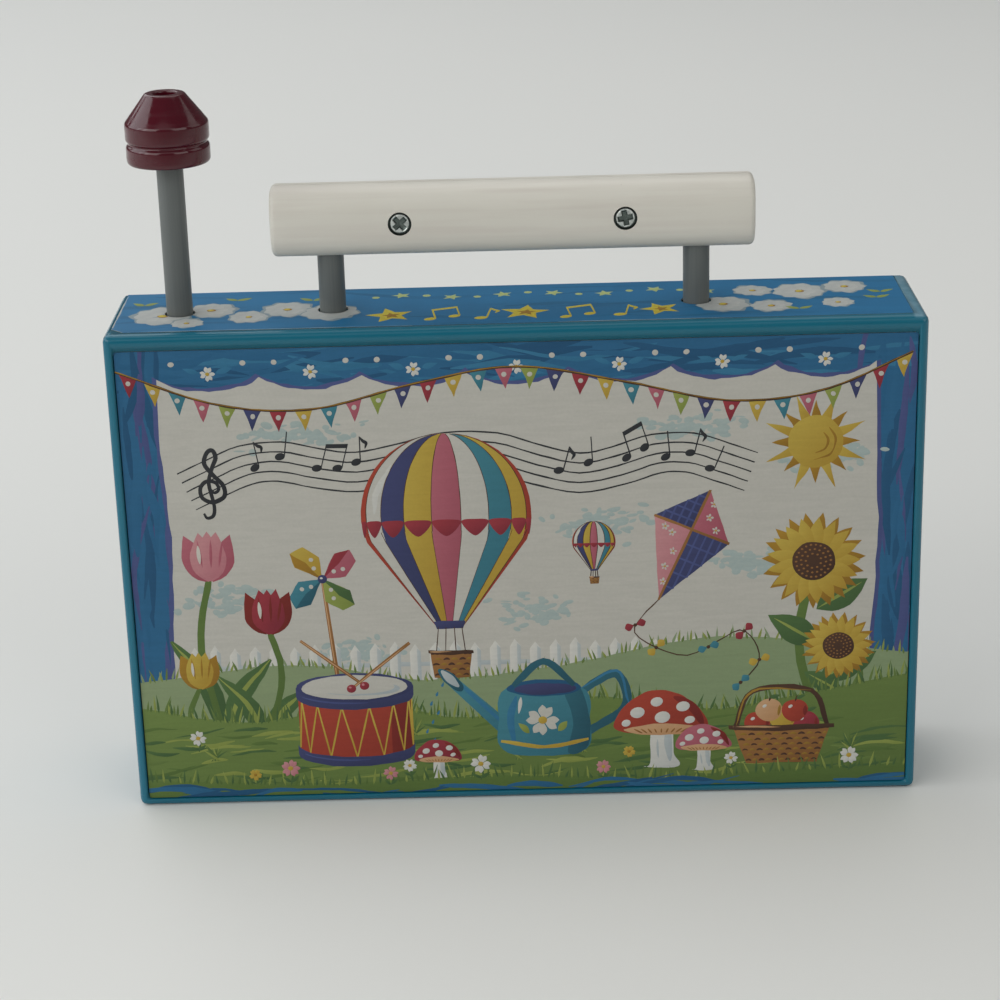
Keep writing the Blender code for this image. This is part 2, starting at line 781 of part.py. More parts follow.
def handle_section(steps=24):
    """A superellipse: depth along the first axis and height along the second."""
    power = 2 / handle_roundness
    outline = []
    for step in range(steps):
        angle = 2 * math.pi * step / steps
        across, up = math.cos(angle), math.sin(angle)
        outline.append((math.copysign(abs(across) ** power, across) * handle_depth / 2,
                        math.copysign(abs(up) ** power, up) * handle_height / 2))
    return outline


def handle_half(name, side):
    """One half of the handle: side is -1 for the rear half and 1 for the front half."""
    half_length = handle_length / 2
    half = drawn(name, ivory_plastic, [handle_section()], -half_length, half_length, (0, 0, handle_centre),
                 (math.pi / 2, 0, math.pi / 2))
    merge_flat_faces(half)
    round_edges(half, handle_end_radius)
    split = fit_gap / 2
    reach_y = handle_depth / 2 + cut_overrun
    reach_z = handle_height / 2 + cut_overrun
    reach_x = half_length + cut_overrun
    away = sorted((side * split, -side * reach_y))
    cut(half, blocks(f"{name} split", None, [((-reach_x, away[0], handle_centre - reach_z),
                                              (reach_x, away[1], handle_centre + reach_z))]))
    cell_y = sorted((-side * cut_overrun, side * (handle_depth / 2 - handle_wall)))
    cell_z = handle_height / 2 - 2 * handle_wall
    cells = [((low, cell_y[0], handle_centre - cell_z), (high, cell_y[1], handle_centre + cell_z))
             for low, high in handle_cells()]
    cut(half, blocks(f"{name} cells", None, cells))
    cut(half, cylinders(f"{name} post bores", None, [(x, 0, 0) for x in post_places], rod_bore,
                        case_height, handle_centre + post_engagement + fit_gap, sides=24))
    screws = [(x, 0, handle_centre) for x in handle_screw_places]
    if side < 0:
        cut(half, cylinders(f"{name} screw holes", None, screws, screw_pilot, -cut_overrun, reach_y,
                            turn=FROM_BACK, sides=16))
        seat = handle_depth / 2 - counterbore_depth
        cut(half, cylinders(f"{name} counterbores", None, screws, counterbore_radius, seat, reach_y,
                            turn=FROM_BACK, sides=24))
    else:
        grip = handle_screw_length - handle_depth / 2 + counterbore_depth + fit_gap
        cut(half, cylinders(f"{name} pilots", None, screws, screw_pilot, -grip - fit_gap, cut_overrun,
                            turn=FROM_BACK, sides=16))
    return half


def merge_flat_faces(piece):
    """Cap triangles that lie in one plane become one face again."""
    shape = bmesh.new()
    shape.from_mesh(piece.data)
    bmesh.ops.dissolve_limit(shape, angle_limit=math.radians(0.5), verts=shape.verts, edges=shape.edges)
    shape.to_mesh(piece.data)
    shape.free()


def handle_cells():
    """The hollow stretches of the handle, between its post sockets and its screw bosses."""
    boss_half = counterbore_radius + handle_wall / 2
    post_half = rod_bore + handle_wall
    screw_x, post_x = handle_screw_spacing / 2, post_spacing / 2
    outer = (screw_x + boss_half, post_x - post_half)
    inner = (-screw_x + boss_half, screw_x - boss_half)
    return [(-outer[1], -outer[0]), inner, outer]


def handle():
    """Two halves, two screws, and two posts held in sockets by screws from below."""
    handle_half("handle_rear_half", -1)
    handle_half("handle_front_half", 1)
    seat_y = -handle_depth / 2 + counterbore_depth
    for name, x in zip(("left", "right"), handle_screw_places):
        screw(f"handle_screw_{name}", (x, seat_y - fit_gap, handle_centre), FROM_BACK, handle_screw_length,
              recess=True)
    socket_bottom = ceiling - socket_depth
    post_bottom = socket_bottom + socket_floor + fit_gap
    post_top = handle_centre + post_engagement
    screw_top = socket_bottom - fit_gap + post_screw_length
    for name, x in zip(("left", "right"), post_places):
        post = cylinders(f"handle_post_{name}", grey_rod_plastic, [(x, 0, 0)], rod_radius, post_bottom,
                         post_top, sides=24)
        cut(post, cylinders(f"post pilot {name}", None, [(x, 0, 0)], screw_pilot, post_bottom - cut_overrun,
                            screw_top + fit_gap, sides=12))
        screw(f"post_screw_{name}", (x, 0, socket_bottom - fit_gap), UPSIDE_DOWN, post_screw_length)


def antenna_knob_profile():
    """The turned knob from the dimple in its top, down its outer side, and up the socket for the rod."""
    top = antenna_knob_height
    band_radius = antenna_knob_radius - fit_gap / 2
    foot_radius = antenna_knob_radius - 2 * fit_gap
    ridge = top * antenna_ridge_share
    groove_high, groove, groove_low = (top * share for share in antenna_groove_shares)
    foot = top * antenna_foot_share
    groove_radius = antenna_knob_radius - antenna_groove_depth
    dimple = top - antenna_knob_dimple_depth
    return [(0, dimple), (antenna_knob_dimple_radius, dimple), (antenna_knob_dimple_radius, top),
            (antenna_knob_top_radius, top), (antenna_knob_radius, ridge), (band_radius, groove_high),
            (groove_radius, groove), (band_radius, groove_low), (band_radius, foot),
            (foot_radius - antenna_foot_round, antenna_foot_round / 2),
            (foot_radius - 2 * antenna_foot_round, 0), (rod_bore, 0), (rod_bore, antenna_knob_socket_depth),
            (0, antenna_knob_socket_depth)]


def antenna():
    """The rod slides with its knob and its stop collar, and a hairpin spring in the guide grips it."""
    axis = axis_guide("antenna_axis", (antenna_x, 0, ceiling))
    rod_low = case_height - antenna_rod_end
    rod_high = knob_bottom + antenna_knob_socket_depth - fit_gap
    rod = cylinders("antenna_rod", grey_rod_plastic, [(antenna_x, 0, 0)], rod_radius, rod_low, rod_high,
                    sides=24, parent=axis)
    round_edges(rod, rod_radius / 8, segments=1)
    turned("antenna_knob", maroon_plastic, antenna_knob_profile(), (antenna_x, 0, knob_bottom), sides=24,
           parent=axis)
    collar_high = ceiling - guide_depth - fit_gap
    collar_low = collar_high - collar_height
    tube = [(collar_radius, collar_high), (collar_radius, collar_low), (rod_bore, collar_low),
            (rod_bore, collar_high)]
    turned("antenna_stop_collar", plated_steel, tube, (antenna_x, 0, 0), ring=True, parent=axis)

    inner = rod_bore
    outer = inner + grip_strip
    hairpin = arc((0, 0), outer, -math.pi / 2, math.pi / 2, 8) + [(-grip_arm, outer), (-grip_arm, inner)]
    hairpin += arc((0, 0), inner, math.pi / 2, -math.pi / 2, 8) + [(-grip_arm, -inner), (-grip_arm, -outer)]
    low, high = grip_slot()
    drawn("antenna_grip_spring", spring_steel, [hairpin], low + fit_gap, high - fit_gap, (antenna_x, 0, 0))


def winding_knob(axis):
    """The fluted knob on the front, with a blind socket for the arbor."""
    steps = 4 * knob_flutes
    outline = []
    for step in range(steps):
        angle = 2 * math.pi * step / steps
        radius = knob_radius - knob_flute_depth * (1 - math.cos(knob_flutes * angle)) / 2
        outline.append((radius * math.cos(angle), radius * math.sin(angle)))
    low = case_front + knob_front_gap
    knob = drawn("winding_knob", ivory_plastic, [outline], low, low + knob_height, (winder_x, 0, winder_z),
                 FROM_FRONT, axis)
    merge_flat_faces(knob)
    round_edges(knob, knob_edge_radius, segments=1)
    cut(knob, cylinders("knob socket", None, [(winder_x, 0, winder_z)], arbor_radius + fit_gap,
                        low - cut_overrun, low + knob_socket_depth, FROM_FRONT, sides=16))


def great_wheel(axis):
    """The wheel on the arbor, with face teeth on its back for the cylinder's pinion."""
    disc_low, disc_high = -great_wheel_front, -great_wheel_back
    bore = arbor_radius + fit_gap
    tube = [(great_wheel_radius, disc_high), (great_wheel_radius, disc_low), (bore, disc_low),
            (bore, disc_high)]
    wheel = turned("great_wheel", brass, tube, (winder_x, 0, winder_z), FROM_BACK, sides=30, ring=True,
                   parent=axis)
    low, high = disc_high - root_sink, disc_high + great_wheel_tooth_height
    size = (great_wheel_tooth_length, great_wheel_tooth_width, high - low)
    shape = bmesh.new()
    top_tooth = Matrix.Translation((great_wheel_pitch_radius, 0, (low + high) / 2))
    for tooth in range(great_wheel_teeth):
        bearing = math.pi / 2 + 2 * math.pi * tooth / great_wheel_teeth
        place = Matrix.Rotation(bearing, 4, "Z") @ top_tooth
        bmesh.ops.create_cube(shape, size=1, matrix=place @ Matrix.Diagonal((*size, 1.0)))
    mesh = bpy.data.meshes.new("face teeth")
    shape.to_mesh(mesh)
    shape.free()
    join(wheel, put("face teeth", mesh, None, (winder_x, 0, winder_z), FROM_BACK))


def winder():
    """Knob, arbor and great wheel, which turn together against the spring."""
    axis = axis_guide("winder_axis", (winder_x, 0, winder_z))
    winding_knob(axis)
    knob_end = case_front + knob_front_gap + knob_socket_depth - fit_gap
    cylinders("winding_arbor", plated_steel, [(winder_x, 0, winder_z)], arbor_radius,
              great_wheel_back - arbor_tail, knob_end, FROM_FRONT, sides=16, parent=axis)
    great_wheel(axis)


def mainspring():
    """A flat spiral strip between the arbor and the wall of its housing."""
    place = (winder_x, 0, winder_z)
    inner, outer = spring_radius - spring_wall, spring_radius
    floor = -spring_front + spring_wall
    bore = arbor_radius + fit_gap
    cup = [(outer, -spring_back), (outer, -spring_front), (bore, -spring_front), (bore, floor),
           (inner, floor), (inner, -spring_back)]
    turned("spring_housing", brass, cup, place, FROM_BACK, sides=24, ring=True)
    start, end = bore + mainspring_side_gap / 2, inner - mainspring_side_gap / 2 - mainspring_strip
    steps = 14 * mainspring_turns
    inside, outside = [], []
    for step in range(steps + 1):
        angle = 2 * math.pi * mainspring_turns * step / steps
        radius = start + (end - start) * step / steps
        inside.append((radius * math.cos(angle), radius * math.sin(angle)))
        radius += mainspring_strip
        outside.append((radius * math.cos(angle), radius * math.sin(angle)))
    low = floor + mainspring_side_gap
    high = -spring_back - mainspring_side_gap
    drawn("mainspring", spring_steel, [inside + outside[::-1]], low, high, place, FROM_BACK)


def bracket(left, right, back, bottom):
    """The corners of a shelf that stands out from the bedplate's back."""
    return (left, back, bottom), (right, bedplate_back + root_sink, bottom + bracket_thickness)


def movement_bedplate():
    """The plate behind the winding knob, with shelves that carry the shafts and a block for the comb."""
    outline = rounded_rectangle(bedplate_left, bedplate_right, bedplate_bottom, bedplate_top, bedplate_corner)
    plate = drawn("movement_bedplate", cast_zinc, [outline], -bedplate_front, -bedplate_back, turn=FROM_BACK)
    back = cylinder_y - bracket_edge
    shelves = [bracket(cylinder_x - bracket_edge, idler_x + bracket_edge, back, low_bracket_bottom),
               bracket(cylinder_x - bracket_edge, cylinder_x + bracket_edge, back, middle_bracket_bottom),
               bracket(governor_x - bracket_edge, cylinder_x + bracket_edge, back, high_bracket_bottom),
               bracket(governor_x - bracket_edge, fan_x + bracket_edge, back, top_bracket_bottom)]
    join(plate, blocks("shelves", None, shelves))
    comb_low, comb_high = comb_span()
    block = ((comb_root_x - comb_base, comb_block_back, comb_low),
             (comb_root_x, bedplate_back + root_sink, comb_high))
    join(plate, blocks("comb block", None, [block]))

    cut(plate, cylinders("bedplate arbor hole", None, [(winder_x, 0, winder_z)], arbor_radius + fit_gap,
                         -bedplate_front - cut_overrun, cut_overrun - bedplate_back, turn=FROM_BACK))
    cut(plate, cylinders("movement screw holes", None, [(x, 0, z) for x, z in movement_screw_places()],
                         screw_pilot, -bedplate_front - cut_overrun, cut_overrun - bedplate_back,
                         turn=FROM_BACK, sides=12))
    shaft_bore = cylinder_shaft_radius + fit_gap
    bores = (("cylinder", cylinder_x, cylinder_y, low_bracket_bottom, high_bracket_top),
             ("governor", governor_x, governor_y, high_bracket_bottom, top_bracket_top),
             ("fan", fan_x, fan_y, high_bracket_bottom, top_bracket_top),
             ("idler", idler_x, idler_y, low_bracket_bottom, low_bracket_top))
    for name, x, y, low, high in bores:
        cut(plate, cylinders(f"{name} bearing bore", None, [(x, y, 0)], shaft_bore, low - cut_overrun / 2,
                             high + cut_overrun / 2, sides=8))
    block_seat = -comb_block_back
    cut(plate, cylinders("comb pilots", None, [(x, 0, z) for x, z in comb_screw_places()], screw_pilot,
                         block_seat - comb_screw_length, block_seat + cut_overrun, turn=FROM_BACK, sides=8))
    seat_y = bedplate_back - fit_gap
    for number, (x, z) in enumerate(movement_screw_places(), 1):
        screw(f"movement_screw_{number}", (x, seat_y, z), FROM_BACK, movement_screw_length)


def comb_span():
    """The comb's lowest and highest edge, in line with the rows of pins."""
    low = drum_low + drum_end_margin
    return low, low + pin_rows * comb_pitch


def comb_screw_places():
    """Two screws through the comb's base."""
    low, high = comb_span()
    x = comb_root_x - comb_base / 2
    quarter = (high - low) / 4
    return [(x, low + quarter), (x, high - quarter)]


def comb():
    """The tuned steel comb: its teeth grow shorter from the lowest note to the highest."""
    low, high = comb_span()
    outline = [(comb_root_x, low), (comb_root_x, high)]
    for row in reversed(range(pin_rows)):
        top = low + (row + 1) * comb_pitch - comb_slot / 2
        bottom = low + row * comb_pitch + comb_slot / 2
        outline += [(comb_tip_x, top), (comb_tip_x, bottom)]
        if row:
            share = row / (pin_rows - 1)
            root = comb_tip_x + comb_tooth_long + (comb_tooth_short - comb_tooth_long) * share
            outline += [(root, bottom), (root, bottom - comb_slot)]
    front = -(cylinder_y + comb_thickness / 2)
    plate = drawn("comb", spring_steel, [outline], front, front + comb_thickness, turn=FROM_BACK)
    cut(plate, cylinders("comb screw holes", None, [(x, 0, z) for x, z in comb_screw_places()], screw_pilot,
                         front - cut_overrun, front + comb_thickness + cut_overrun, turn=FROM_BACK, sides=8))
    seat_y = cylinder_y - comb_thickness / 2 - fit_gap
    for number, (x, z) in enumerate(comb_screw_places(), 1):
        screw(f"comb_screw_{number}", (x, seat_y, z), FROM_BACK, comb_screw_length)


def cylinder():
    """The pinned drum and its gears on one upright shaft."""
    axis = axis_guide("cylinder_axis", (cylinder_x, cylinder_y, 0))
    place = (cylinder_x, cylinder_y, 0)
    bore = cylinder_shaft_radius + fit_gap
    tube = [(drum_radius, drum_high), (drum_radius, drum_low), (bore, drum_low), (bore, drum_high)]
    drum = turned("cylinder_drum", brass, tube, place, sides=18, ring=True, parent=axis)
    join(drum, drum_pins())
    cylinders("cylinder_shaft", plated_steel, [place], cylinder_shaft_radius,
              scroll_gear_low - gear_stack_gap, cylinder_gear_high + gear_stack_gap, sides=12, parent=axis)
    hole = circle(bore, 12)
    drawn("cylinder_pinion", white_nylon, [gear_outline(pinion_teeth, pinion_module, pinion_tooth()), hole],
          pinion_low, pinion_high, place, parent=axis)
    teeth = gear_outline(cylinder_gear_teeth, train_module, 0)
    drawn("cylinder_gear", white_nylon, [teeth, hole], cylinder_gear_low, cylinder_gear_high, place,
          parent=axis)
    drawn("scroll_gear", white_nylon, [teeth, hole], scroll_gear_low, scroll_gear_high, place, parent=axis)


def pinion_tooth():
    """The pinion has a gap where the great wheel's top tooth stands, straight in front of it."""
    return math.pi / 2 + math.pi / pinion_teeth


def drum_pins():
    """The pins of a made-up tune: each row starts a golden angle on from the one below it."""
    golden_angle = math.pi * (3 - math.sqrt(5))
    low = drum_low + drum_end_margin
    length = pin_height + root_sink
    shape = bmesh.new()
    for row in range(pin_rows):
        for number in range(pins_in_row):
            bearing = row * golden_angle + number * 2 * math.pi / pins_in_row
            place = Matrix.Translation((0, 0, low + (row + 0.5) * comb_pitch))
            place = place @ Matrix.Rotation(bearing, 4, "Z")
            place = place @ Matrix.Translation((drum_radius - root_sink + length / 2, 0, 0))
            place = place @ Matrix.Rotation(math.pi / 2, 4, "Y")
            bmesh.ops.create_cone(shape, cap_ends=True, segments=3, radius1=pin_radius, radius2=pin_radius,
                                  depth=length, matrix=place)
    mesh = bpy.data.meshes.new("drum pins")
    shape.to_mesh(mesh)
    shape.free()
    return put("drum pins", mesh, None, (cylinder_x, cylinder_y, 0), UPRIGHT)


def governor():
    """The wheel and the fan that hold the cylinder's speed down."""
    shaft_low = high_bracket_bottom - gear_stack_gap
    shaft_high = top_bracket_top + gear_stack_gap
    wheel_axis = axis_guide("governor_axis", (governor_x, governor_y, 0))
    place = (governor_x, governor_y, 0)
    pinion_first = meshing_tooth(math.pi, governor_pinion_teeth, cylinder_gear_teeth, 0)
    wheel_first = 0
    wheel = cylinders("governor_wheel", white_nylon, [place], cylinder_shaft_radius, shaft_low, shaft_high,
                      sides=12, parent=wheel_axis)
    pinion = gear_outline(governor_pinion_teeth, train_module, pinion_first)
    teeth = gear_outline(governor_wheel_teeth, governor_module, wheel_first)
    join(wheel, drawn("governor pinion", None, [pinion], cylinder_gear_low, governor_gear_low + root_sink,
                      place))
    join(wheel, drawn("governor teeth", None, [teeth], governor_gear_low, governor_gear_high, place))

    fan_axis = axis_guide("fan_axis", (fan_x, fan_y, 0))
    place = (fan_x, fan_y, 0)
    fan_first = meshing_tooth(fan_bearing, fan_pinion_teeth, governor_wheel_teeth, wheel_first)
    shaft = cylinders("governor_fan_shaft", white_nylon, [place], cylinder_shaft_radius, shaft_low,
                      shaft_high, sides=12, parent=fan_axis)
    join(shaft, drawn("fan pinion", None, [gear_outline(fan_pinion_teeth, governor_module, fan_first)],
                      governor_gear_low, governor_gear_high, place))
    half_blade = fan_blade / 2
    spread = math.asin(half_blade / fan_hub_radius)
    outline = [(fan_radius, -half_blade), (fan_radius, half_blade)]
    outline += arc((0, 0), fan_hub_radius, spread, math.pi - spread, 4)
    outline += [(-fan_radius, half_blade), (-fan_radius, -half_blade)]
    outline += arc((0, 0), fan_hub_radius, math.pi + spread, 2 * math.pi - spread, 4)
    drawn("governor_fan", maroon_plastic, [outline, circle(cylinder_shaft_radius + fit_gap, 12)], fan_low,
          fan_high, place, parent=fan_axis)


def scroll_train():
    """The idler gear under the bedplate's lowest shelf, between the cylinder and the left roller."""
    place = (idler_x, idler_y, 0)
    axis = axis_guide("scroll_idler_axis", place)
    bore = cylinder_shaft_radius + fit_gap
    idler_first = meshing_tooth(scroll_bearing, scroll_idler_teeth, cylinder_gear_teeth, 0)
    drawn("scroll_idler_gear", white_nylon,
          [gear_outline(scroll_idler_teeth, train_module, idler_first), circle(bore, 12)],
          scroll_gear_low, scroll_gear_high, place, parent=axis)
    head_high = scroll_gear_low - fit_gap
    head_low = head_high - bracket_thickness
    head_radius = 2 * cylinder_shaft_radius
    pin_high = low_bracket_top + gear_stack_gap
    pin = [(0, pin_high), (cylinder_shaft_radius, pin_high), (cylinder_shaft_radius, head_high),
           (head_radius, head_high), (head_radius, head_low), (0, head_low)]
    turned("scroll_idler_pin", plated_steel, pin, place, sides=12)
    return meshing_tooth(scroll_bearing, roller_gear_teeth, scroll_idler_teeth, idler_first)


def roller(name, x, length_below):
    """A roller with a journal at each end."""
    axis = axis_guide(f"{name}_axis", (x, roller_y, 0))
    top = roller_high + roller_journal_length
    bottom = roller_low - length_below
    profile = [(0, top), (roller_journal_radius, top), (roller_journal_radius, roller_high),
               (roller_radius, roller_high), (roller_radius, roller_low), (roller_journal_radius, roller_low),
               (roller_journal_radius, bottom), (0, bottom)]
    turned(name, white_nylon, profile, (x, roller_y, 0), parent=axis)
    return axis


def picture_scroll():
    """Two rollers carry the picture belt in a frame behind the window."""
    roller_gear_tooth = scroll_train()
    gear_reach = roller_low - scroll_gear_low + gear_stack_gap
    axis = roller("drive_roller", left_roller_x, gear_reach)
    roller("idler_roller", right_roller_x, roller_journal_length)
    drawn("drive_roller_gear", white_nylon,
          [gear_outline(roller_gear_teeth, train_module, roller_gear_tooth),
           circle(roller_journal_radius + fit_gap, 16)],
          scroll_gear_low, scroll_gear_high, (left_roller_x, roller_y, 0), parent=axis)
    loop = [belt_outline(belt_radius + belt_thickness), belt_outline(belt_radius)]
    drawn("picture_belt", printed_card, loop, belt_low, belt_high, (0, roller_y, 0))


def belt_outline(radius):
    """Two half circles round the rollers, joined by straight runs."""
    return (arc((right_roller_x, 0), radius, -math.pi / 2, math.pi / 2, 10)
            + arc((left_roller_x, 0), radius, math.pi / 2, 3 * math.pi / 2, 10))


def scroll_frame():
    """Two rails with bearing holes, tied together behind the belt, and tabs for four screws."""
    left = left_roller_x - rail_end_margin
    right = right_roller_x + rail_end_margin
    tie_front = roller_y - belt_radius - belt_thickness - rail_back_margin / 2
    back = tie_front - tie_bar_thickness
    front = rail_front()
    low_rail = (left, back, low_rail_bottom), (right, front, low_rail_top)
    high_rail = (left, back, high_rail_bottom), (right, front, high_rail_top)
    frame = blocks("scroll_frame", grey_plastic, [low_rail])
    join(frame, blocks("upper rail", None, [high_rail]))
    bars = []
    for x in (left_roller_x + tie_bar_inset, right_roller_x - tie_bar_inset):
        bars.append(((x - tie_bar_width / 2, back, low_rail_top - root_sink),
                     (x + tie_bar_width / 2, tie_front, high_rail_bottom + root_sink)))
    join(frame, blocks("tie bars", None, bars))
    tabs = []
    for x, z in frame_screw_places():
        low, high = z - tab_height / 2, z + tab_height / 2
        low, high = (low, high + root_sink) if z < window_sill else (low - root_sink, high)
        tabs.append(((x - tab_width / 2, front - tab_thickness, low), (x + tab_width / 2, front, high)))
    join(frame, blocks("frame tabs", None, tabs))
    journal_bore = roller_journal_radius + fit_gap
    rollers = [(left_roller_x, roller_y, 0), (right_roller_x, roller_y, 0)]
    cut(frame, cylinders("roller bearings", None, rollers, journal_bore, low_rail_bottom - cut_overrun,
                         high_rail_top + cut_overrun, sides=10))
    cut(frame, cylinders("frame screw holes", None, [(x, 0, z) for x, z in frame_screw_places()], screw_pilot,
                         -front - cut_overrun, tab_thickness - front + cut_overrun, turn=FROM_BACK, sides=8))
    seat_y = front - tab_thickness - fit_gap
    names = ("lower_left", "lower_right", "upper_left", "upper_right")
    for name, (x, z) in zip(names, frame_screw_places()):
        screw(f"scroll_frame_screw_{name}", (x, seat_y, z), FROM_BACK, frame_screw_length)


for leftover in list(bpy.data.objects):
    bpy.data.objects.remove(leftover, do_unlink=True)

parts = new_collection("wind_up_radio_toy")
cutters = new_collection("cutters")

teal_plastic = new_material("teal plastic", (0.012, 0.095, 0.135), 0.28)
ivory_plastic = new_material("ivory plastic", (0.56, 0.54, 0.46), 0.45)
grey_rod_plastic = new_material("grey rod plastic", (0.10, 0.11, 0.11), 0.5)
maroon_plastic = new_material("maroon plastic", (0.075, 0.008, 0.018), 0.25)
grey_plastic = new_material("grey plastic", (0.30, 0.31, 0.31), 0.5)
white_nylon = new_material("white nylon", (0.72, 0.71, 0.66), 0.5)
clear_plastic = new_material("clear plastic", (0.85, 0.88, 0.88), 0.05)
printed_card = new_material("printed card", (0.45, 0.43, 0.38), 0.5)
blue_card = new_material("blue card", (0.03, 0.11, 0.22), 0.5)
plated_steel = new_material("plated steel", (0.62, 0.61, 0.58), 0.35, 1.0)
spring_steel = new_material("spring steel", (0.25, 0.27, 0.31), 0.3, 1.0)
cast_zinc = new_material("cast zinc", (0.42, 0.43, 0.44), 0.45, 1.0)
brass = new_material("brass", (0.62, 0.44, 0.16), 0.3, 1.0)

case_shell()
rear_cover()
top_label()
picture_window()
handle()
antenna()
winder()
mainspring()
movement_bedplate()
comb()
cylinder()
governor()
picture_scroll()
scroll_frame()
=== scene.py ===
"""The looks of the wind-up radio toy: its finishes, its printed sheets and its finer mouldings.

X runs along the case, to the right as the printed back is seen, Y from that back to the window side, Z up.
Lengths are in metres, and a printed sheet is drawn in millimetres.
"""
import json
import math

import bmesh
import bpy
import numpy as np
from mathutils import Matrix, Vector
from mathutils.geometry import delaunay_2d_cdt


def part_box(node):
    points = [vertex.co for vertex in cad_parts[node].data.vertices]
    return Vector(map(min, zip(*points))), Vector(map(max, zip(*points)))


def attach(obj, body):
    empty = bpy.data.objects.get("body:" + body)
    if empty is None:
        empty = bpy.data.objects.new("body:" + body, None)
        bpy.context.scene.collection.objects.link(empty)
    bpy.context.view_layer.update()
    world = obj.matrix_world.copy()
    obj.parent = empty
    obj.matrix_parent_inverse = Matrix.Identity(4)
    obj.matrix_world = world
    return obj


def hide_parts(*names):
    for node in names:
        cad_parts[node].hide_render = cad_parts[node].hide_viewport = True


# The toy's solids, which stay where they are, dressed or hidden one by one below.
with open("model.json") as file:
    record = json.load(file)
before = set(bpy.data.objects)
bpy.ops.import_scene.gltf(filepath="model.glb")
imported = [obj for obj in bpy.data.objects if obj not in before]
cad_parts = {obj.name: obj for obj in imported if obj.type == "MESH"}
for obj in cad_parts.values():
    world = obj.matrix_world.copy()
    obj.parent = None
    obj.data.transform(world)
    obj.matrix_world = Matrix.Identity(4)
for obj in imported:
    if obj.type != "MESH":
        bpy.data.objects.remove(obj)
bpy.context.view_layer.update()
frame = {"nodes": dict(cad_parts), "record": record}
nodes = frame["nodes"]

# The camera stands behind the toy and looks down on its printed back through a long lens, as the
# photograph's did: place and turn come from a fit to the corners of the case.
photograph = bpy.data.objects.new("photograph", bpy.data.cameras.new("photograph"))
photograph.location = (-0.00016, -0.73013, 0.36075)
photograph.rotation_euler = [math.radians(angle) for angle in (69.661, 1.490, -0.096)]
photograph.data.lens = 91.085
photograph.data.clip_start = 0.05
bpy.context.scene.collection.objects.link(photograph)
bpy.context.scene.camera = photograph
bpy.context.scene.view_settings.view_transform = "Standard"


# The toy stands on a plain pale table top, painted matt, which runs on past the picture's edges. Towards
# the viewer its colour falls off to grey, a painted shade for the dim room there, so that the glossy faces
# have something darker to reflect.
def linear(code):
    """An sRGB hex colour as linear red, green, blue and a full alpha.

    Each channel c goes to c / 12.92 below 0.04045, and to ((c + 0.055) / 1.055) to the power 2.4 above.
    """
    channels = np.array([int(code[k:k + 2], 16) for k in (1, 3, 5)]) / 255
    spread = np.where(channels < 0.04045, channels / 12.92, ((channels + 0.055) / 1.055) ** 2.4)
    return (*spread.tolist(), 1.0)


def add_node(tree, kind, inputs, **settings):
    """A node with its settings, whose inputs are values or the outputs of other nodes."""
    node = tree.nodes.new(kind)
    for name, value in settings.items():
        setattr(node, name, value)
    for name, value in inputs.items():
        if isinstance(value, bpy.types.NodeSocket):
            tree.links.new(value, node.inputs[name])
        else:
            node.inputs[name].default_value = value
    return node


def new_material(name):
    """An empty material: its node tree, its Principled shader and its object coordinates."""
    material = bpy.data.materials.new(name)
    material.use_nodes = True
    tree = material.node_tree
    places = add_node(tree, "ShaderNodeTexCoord", {}).outputs["Object"]
    return material, tree, tree.nodes["Principled BSDF"], places


def set_values(shader, **values):
    """Even values on the shader's own sockets, by their names with spaces as underscores."""
    for name, value in values.items():
        shader.inputs[name.replace("_", " ")].default_value = value


def grid_mesh(name, points, wrap_rows=False, wrap_columns=False, caps=False):
    """A mesh over an array of points, rows by columns by 3.

    Point (i, j) makes a face with (i + 1, j), (i + 1, j + 1) and (i, j + 1). A direction that wraps goes
    on from its last line to its first. Caps close the first and the last row with one face each.
    """
    rows, columns = points.shape[:2]
    numbers = np.arange(rows * columns).reshape(rows, columns)
    if wrap_rows:
        numbers = np.vstack([numbers, numbers[:1]])
    if wrap_columns:
        numbers = np.hstack([numbers, numbers[:, :1]])
    quads = np.stack([numbers[:-1, :-1], numbers[1:, :-1], numbers[1:, 1:], numbers[:-1, 1:]], axis=-1)
    faces = quads.reshape(-1, 4).tolist()
    if caps:
        faces += [list(range(columns)), list(range(rows * columns - 1, (rows - 1) * columns - 1, -1))]
    mesh = bpy.data.meshes.new(name)
    mesh.from_pydata(points.reshape(-1, 3).tolist(), [], faces)
    return mesh


floor_reach = 8.0
floor_shade_from = (-0.25, -1.1)
# Matt emulsion paint: a flat pale grey with a faint mottling, in patches about 0.8 m wide.
floor_paint, tree, shader, places = new_material("matt pale grey paint")
mottle = add_node(tree, "ShaderNodeTexNoise", {"Vector": places, "Scale": 1.3, "Detail": 3.0})
tint = add_node(tree, "ShaderNodeMix", {0: mottle.outputs["Fac"], 6: linear("#e0e1df"),
                                        7: linear("#e6e6e3")}, data_type="RGBA")
# Painted shade: the grey darkens towards the viewer, from 0.25 m to 1.1 m in front of the toy.
split = add_node(tree, "ShaderNodeSeparateXYZ", {"Vector": places})
shade_share = add_node(tree, "ShaderNodeMapRange", {"Value": split.outputs["Y"], "From Min": floor_shade_from[0],
                                                 "From Max": floor_shade_from[1]},
                    interpolation_type="SMOOTHSTEP")
painted_shade_floor = add_node(tree, "ShaderNodeMix", {0: shade_share.outputs["Result"], 6: tint.outputs[2],
                                              7: linear("#a2a3a0")}, data_type="RGBA")
tree.links.new(painted_shade_floor.outputs[2], shader.inputs["Base Color"])
set_values(shader, Roughness=0.75, Specular_IOR_Level=0.25)
reach = np.linspace(-floor_reach, floor_reach, 9)
floor_points = np.stack(np.meshgrid(reach, reach, [0.0], indexing="ij"), axis=-1)[:, :, 0]
floor_mesh = grid_mesh("table_top", floor_points)
floor_mesh.flip_normals()
floor_mesh.materials.append(floor_paint)
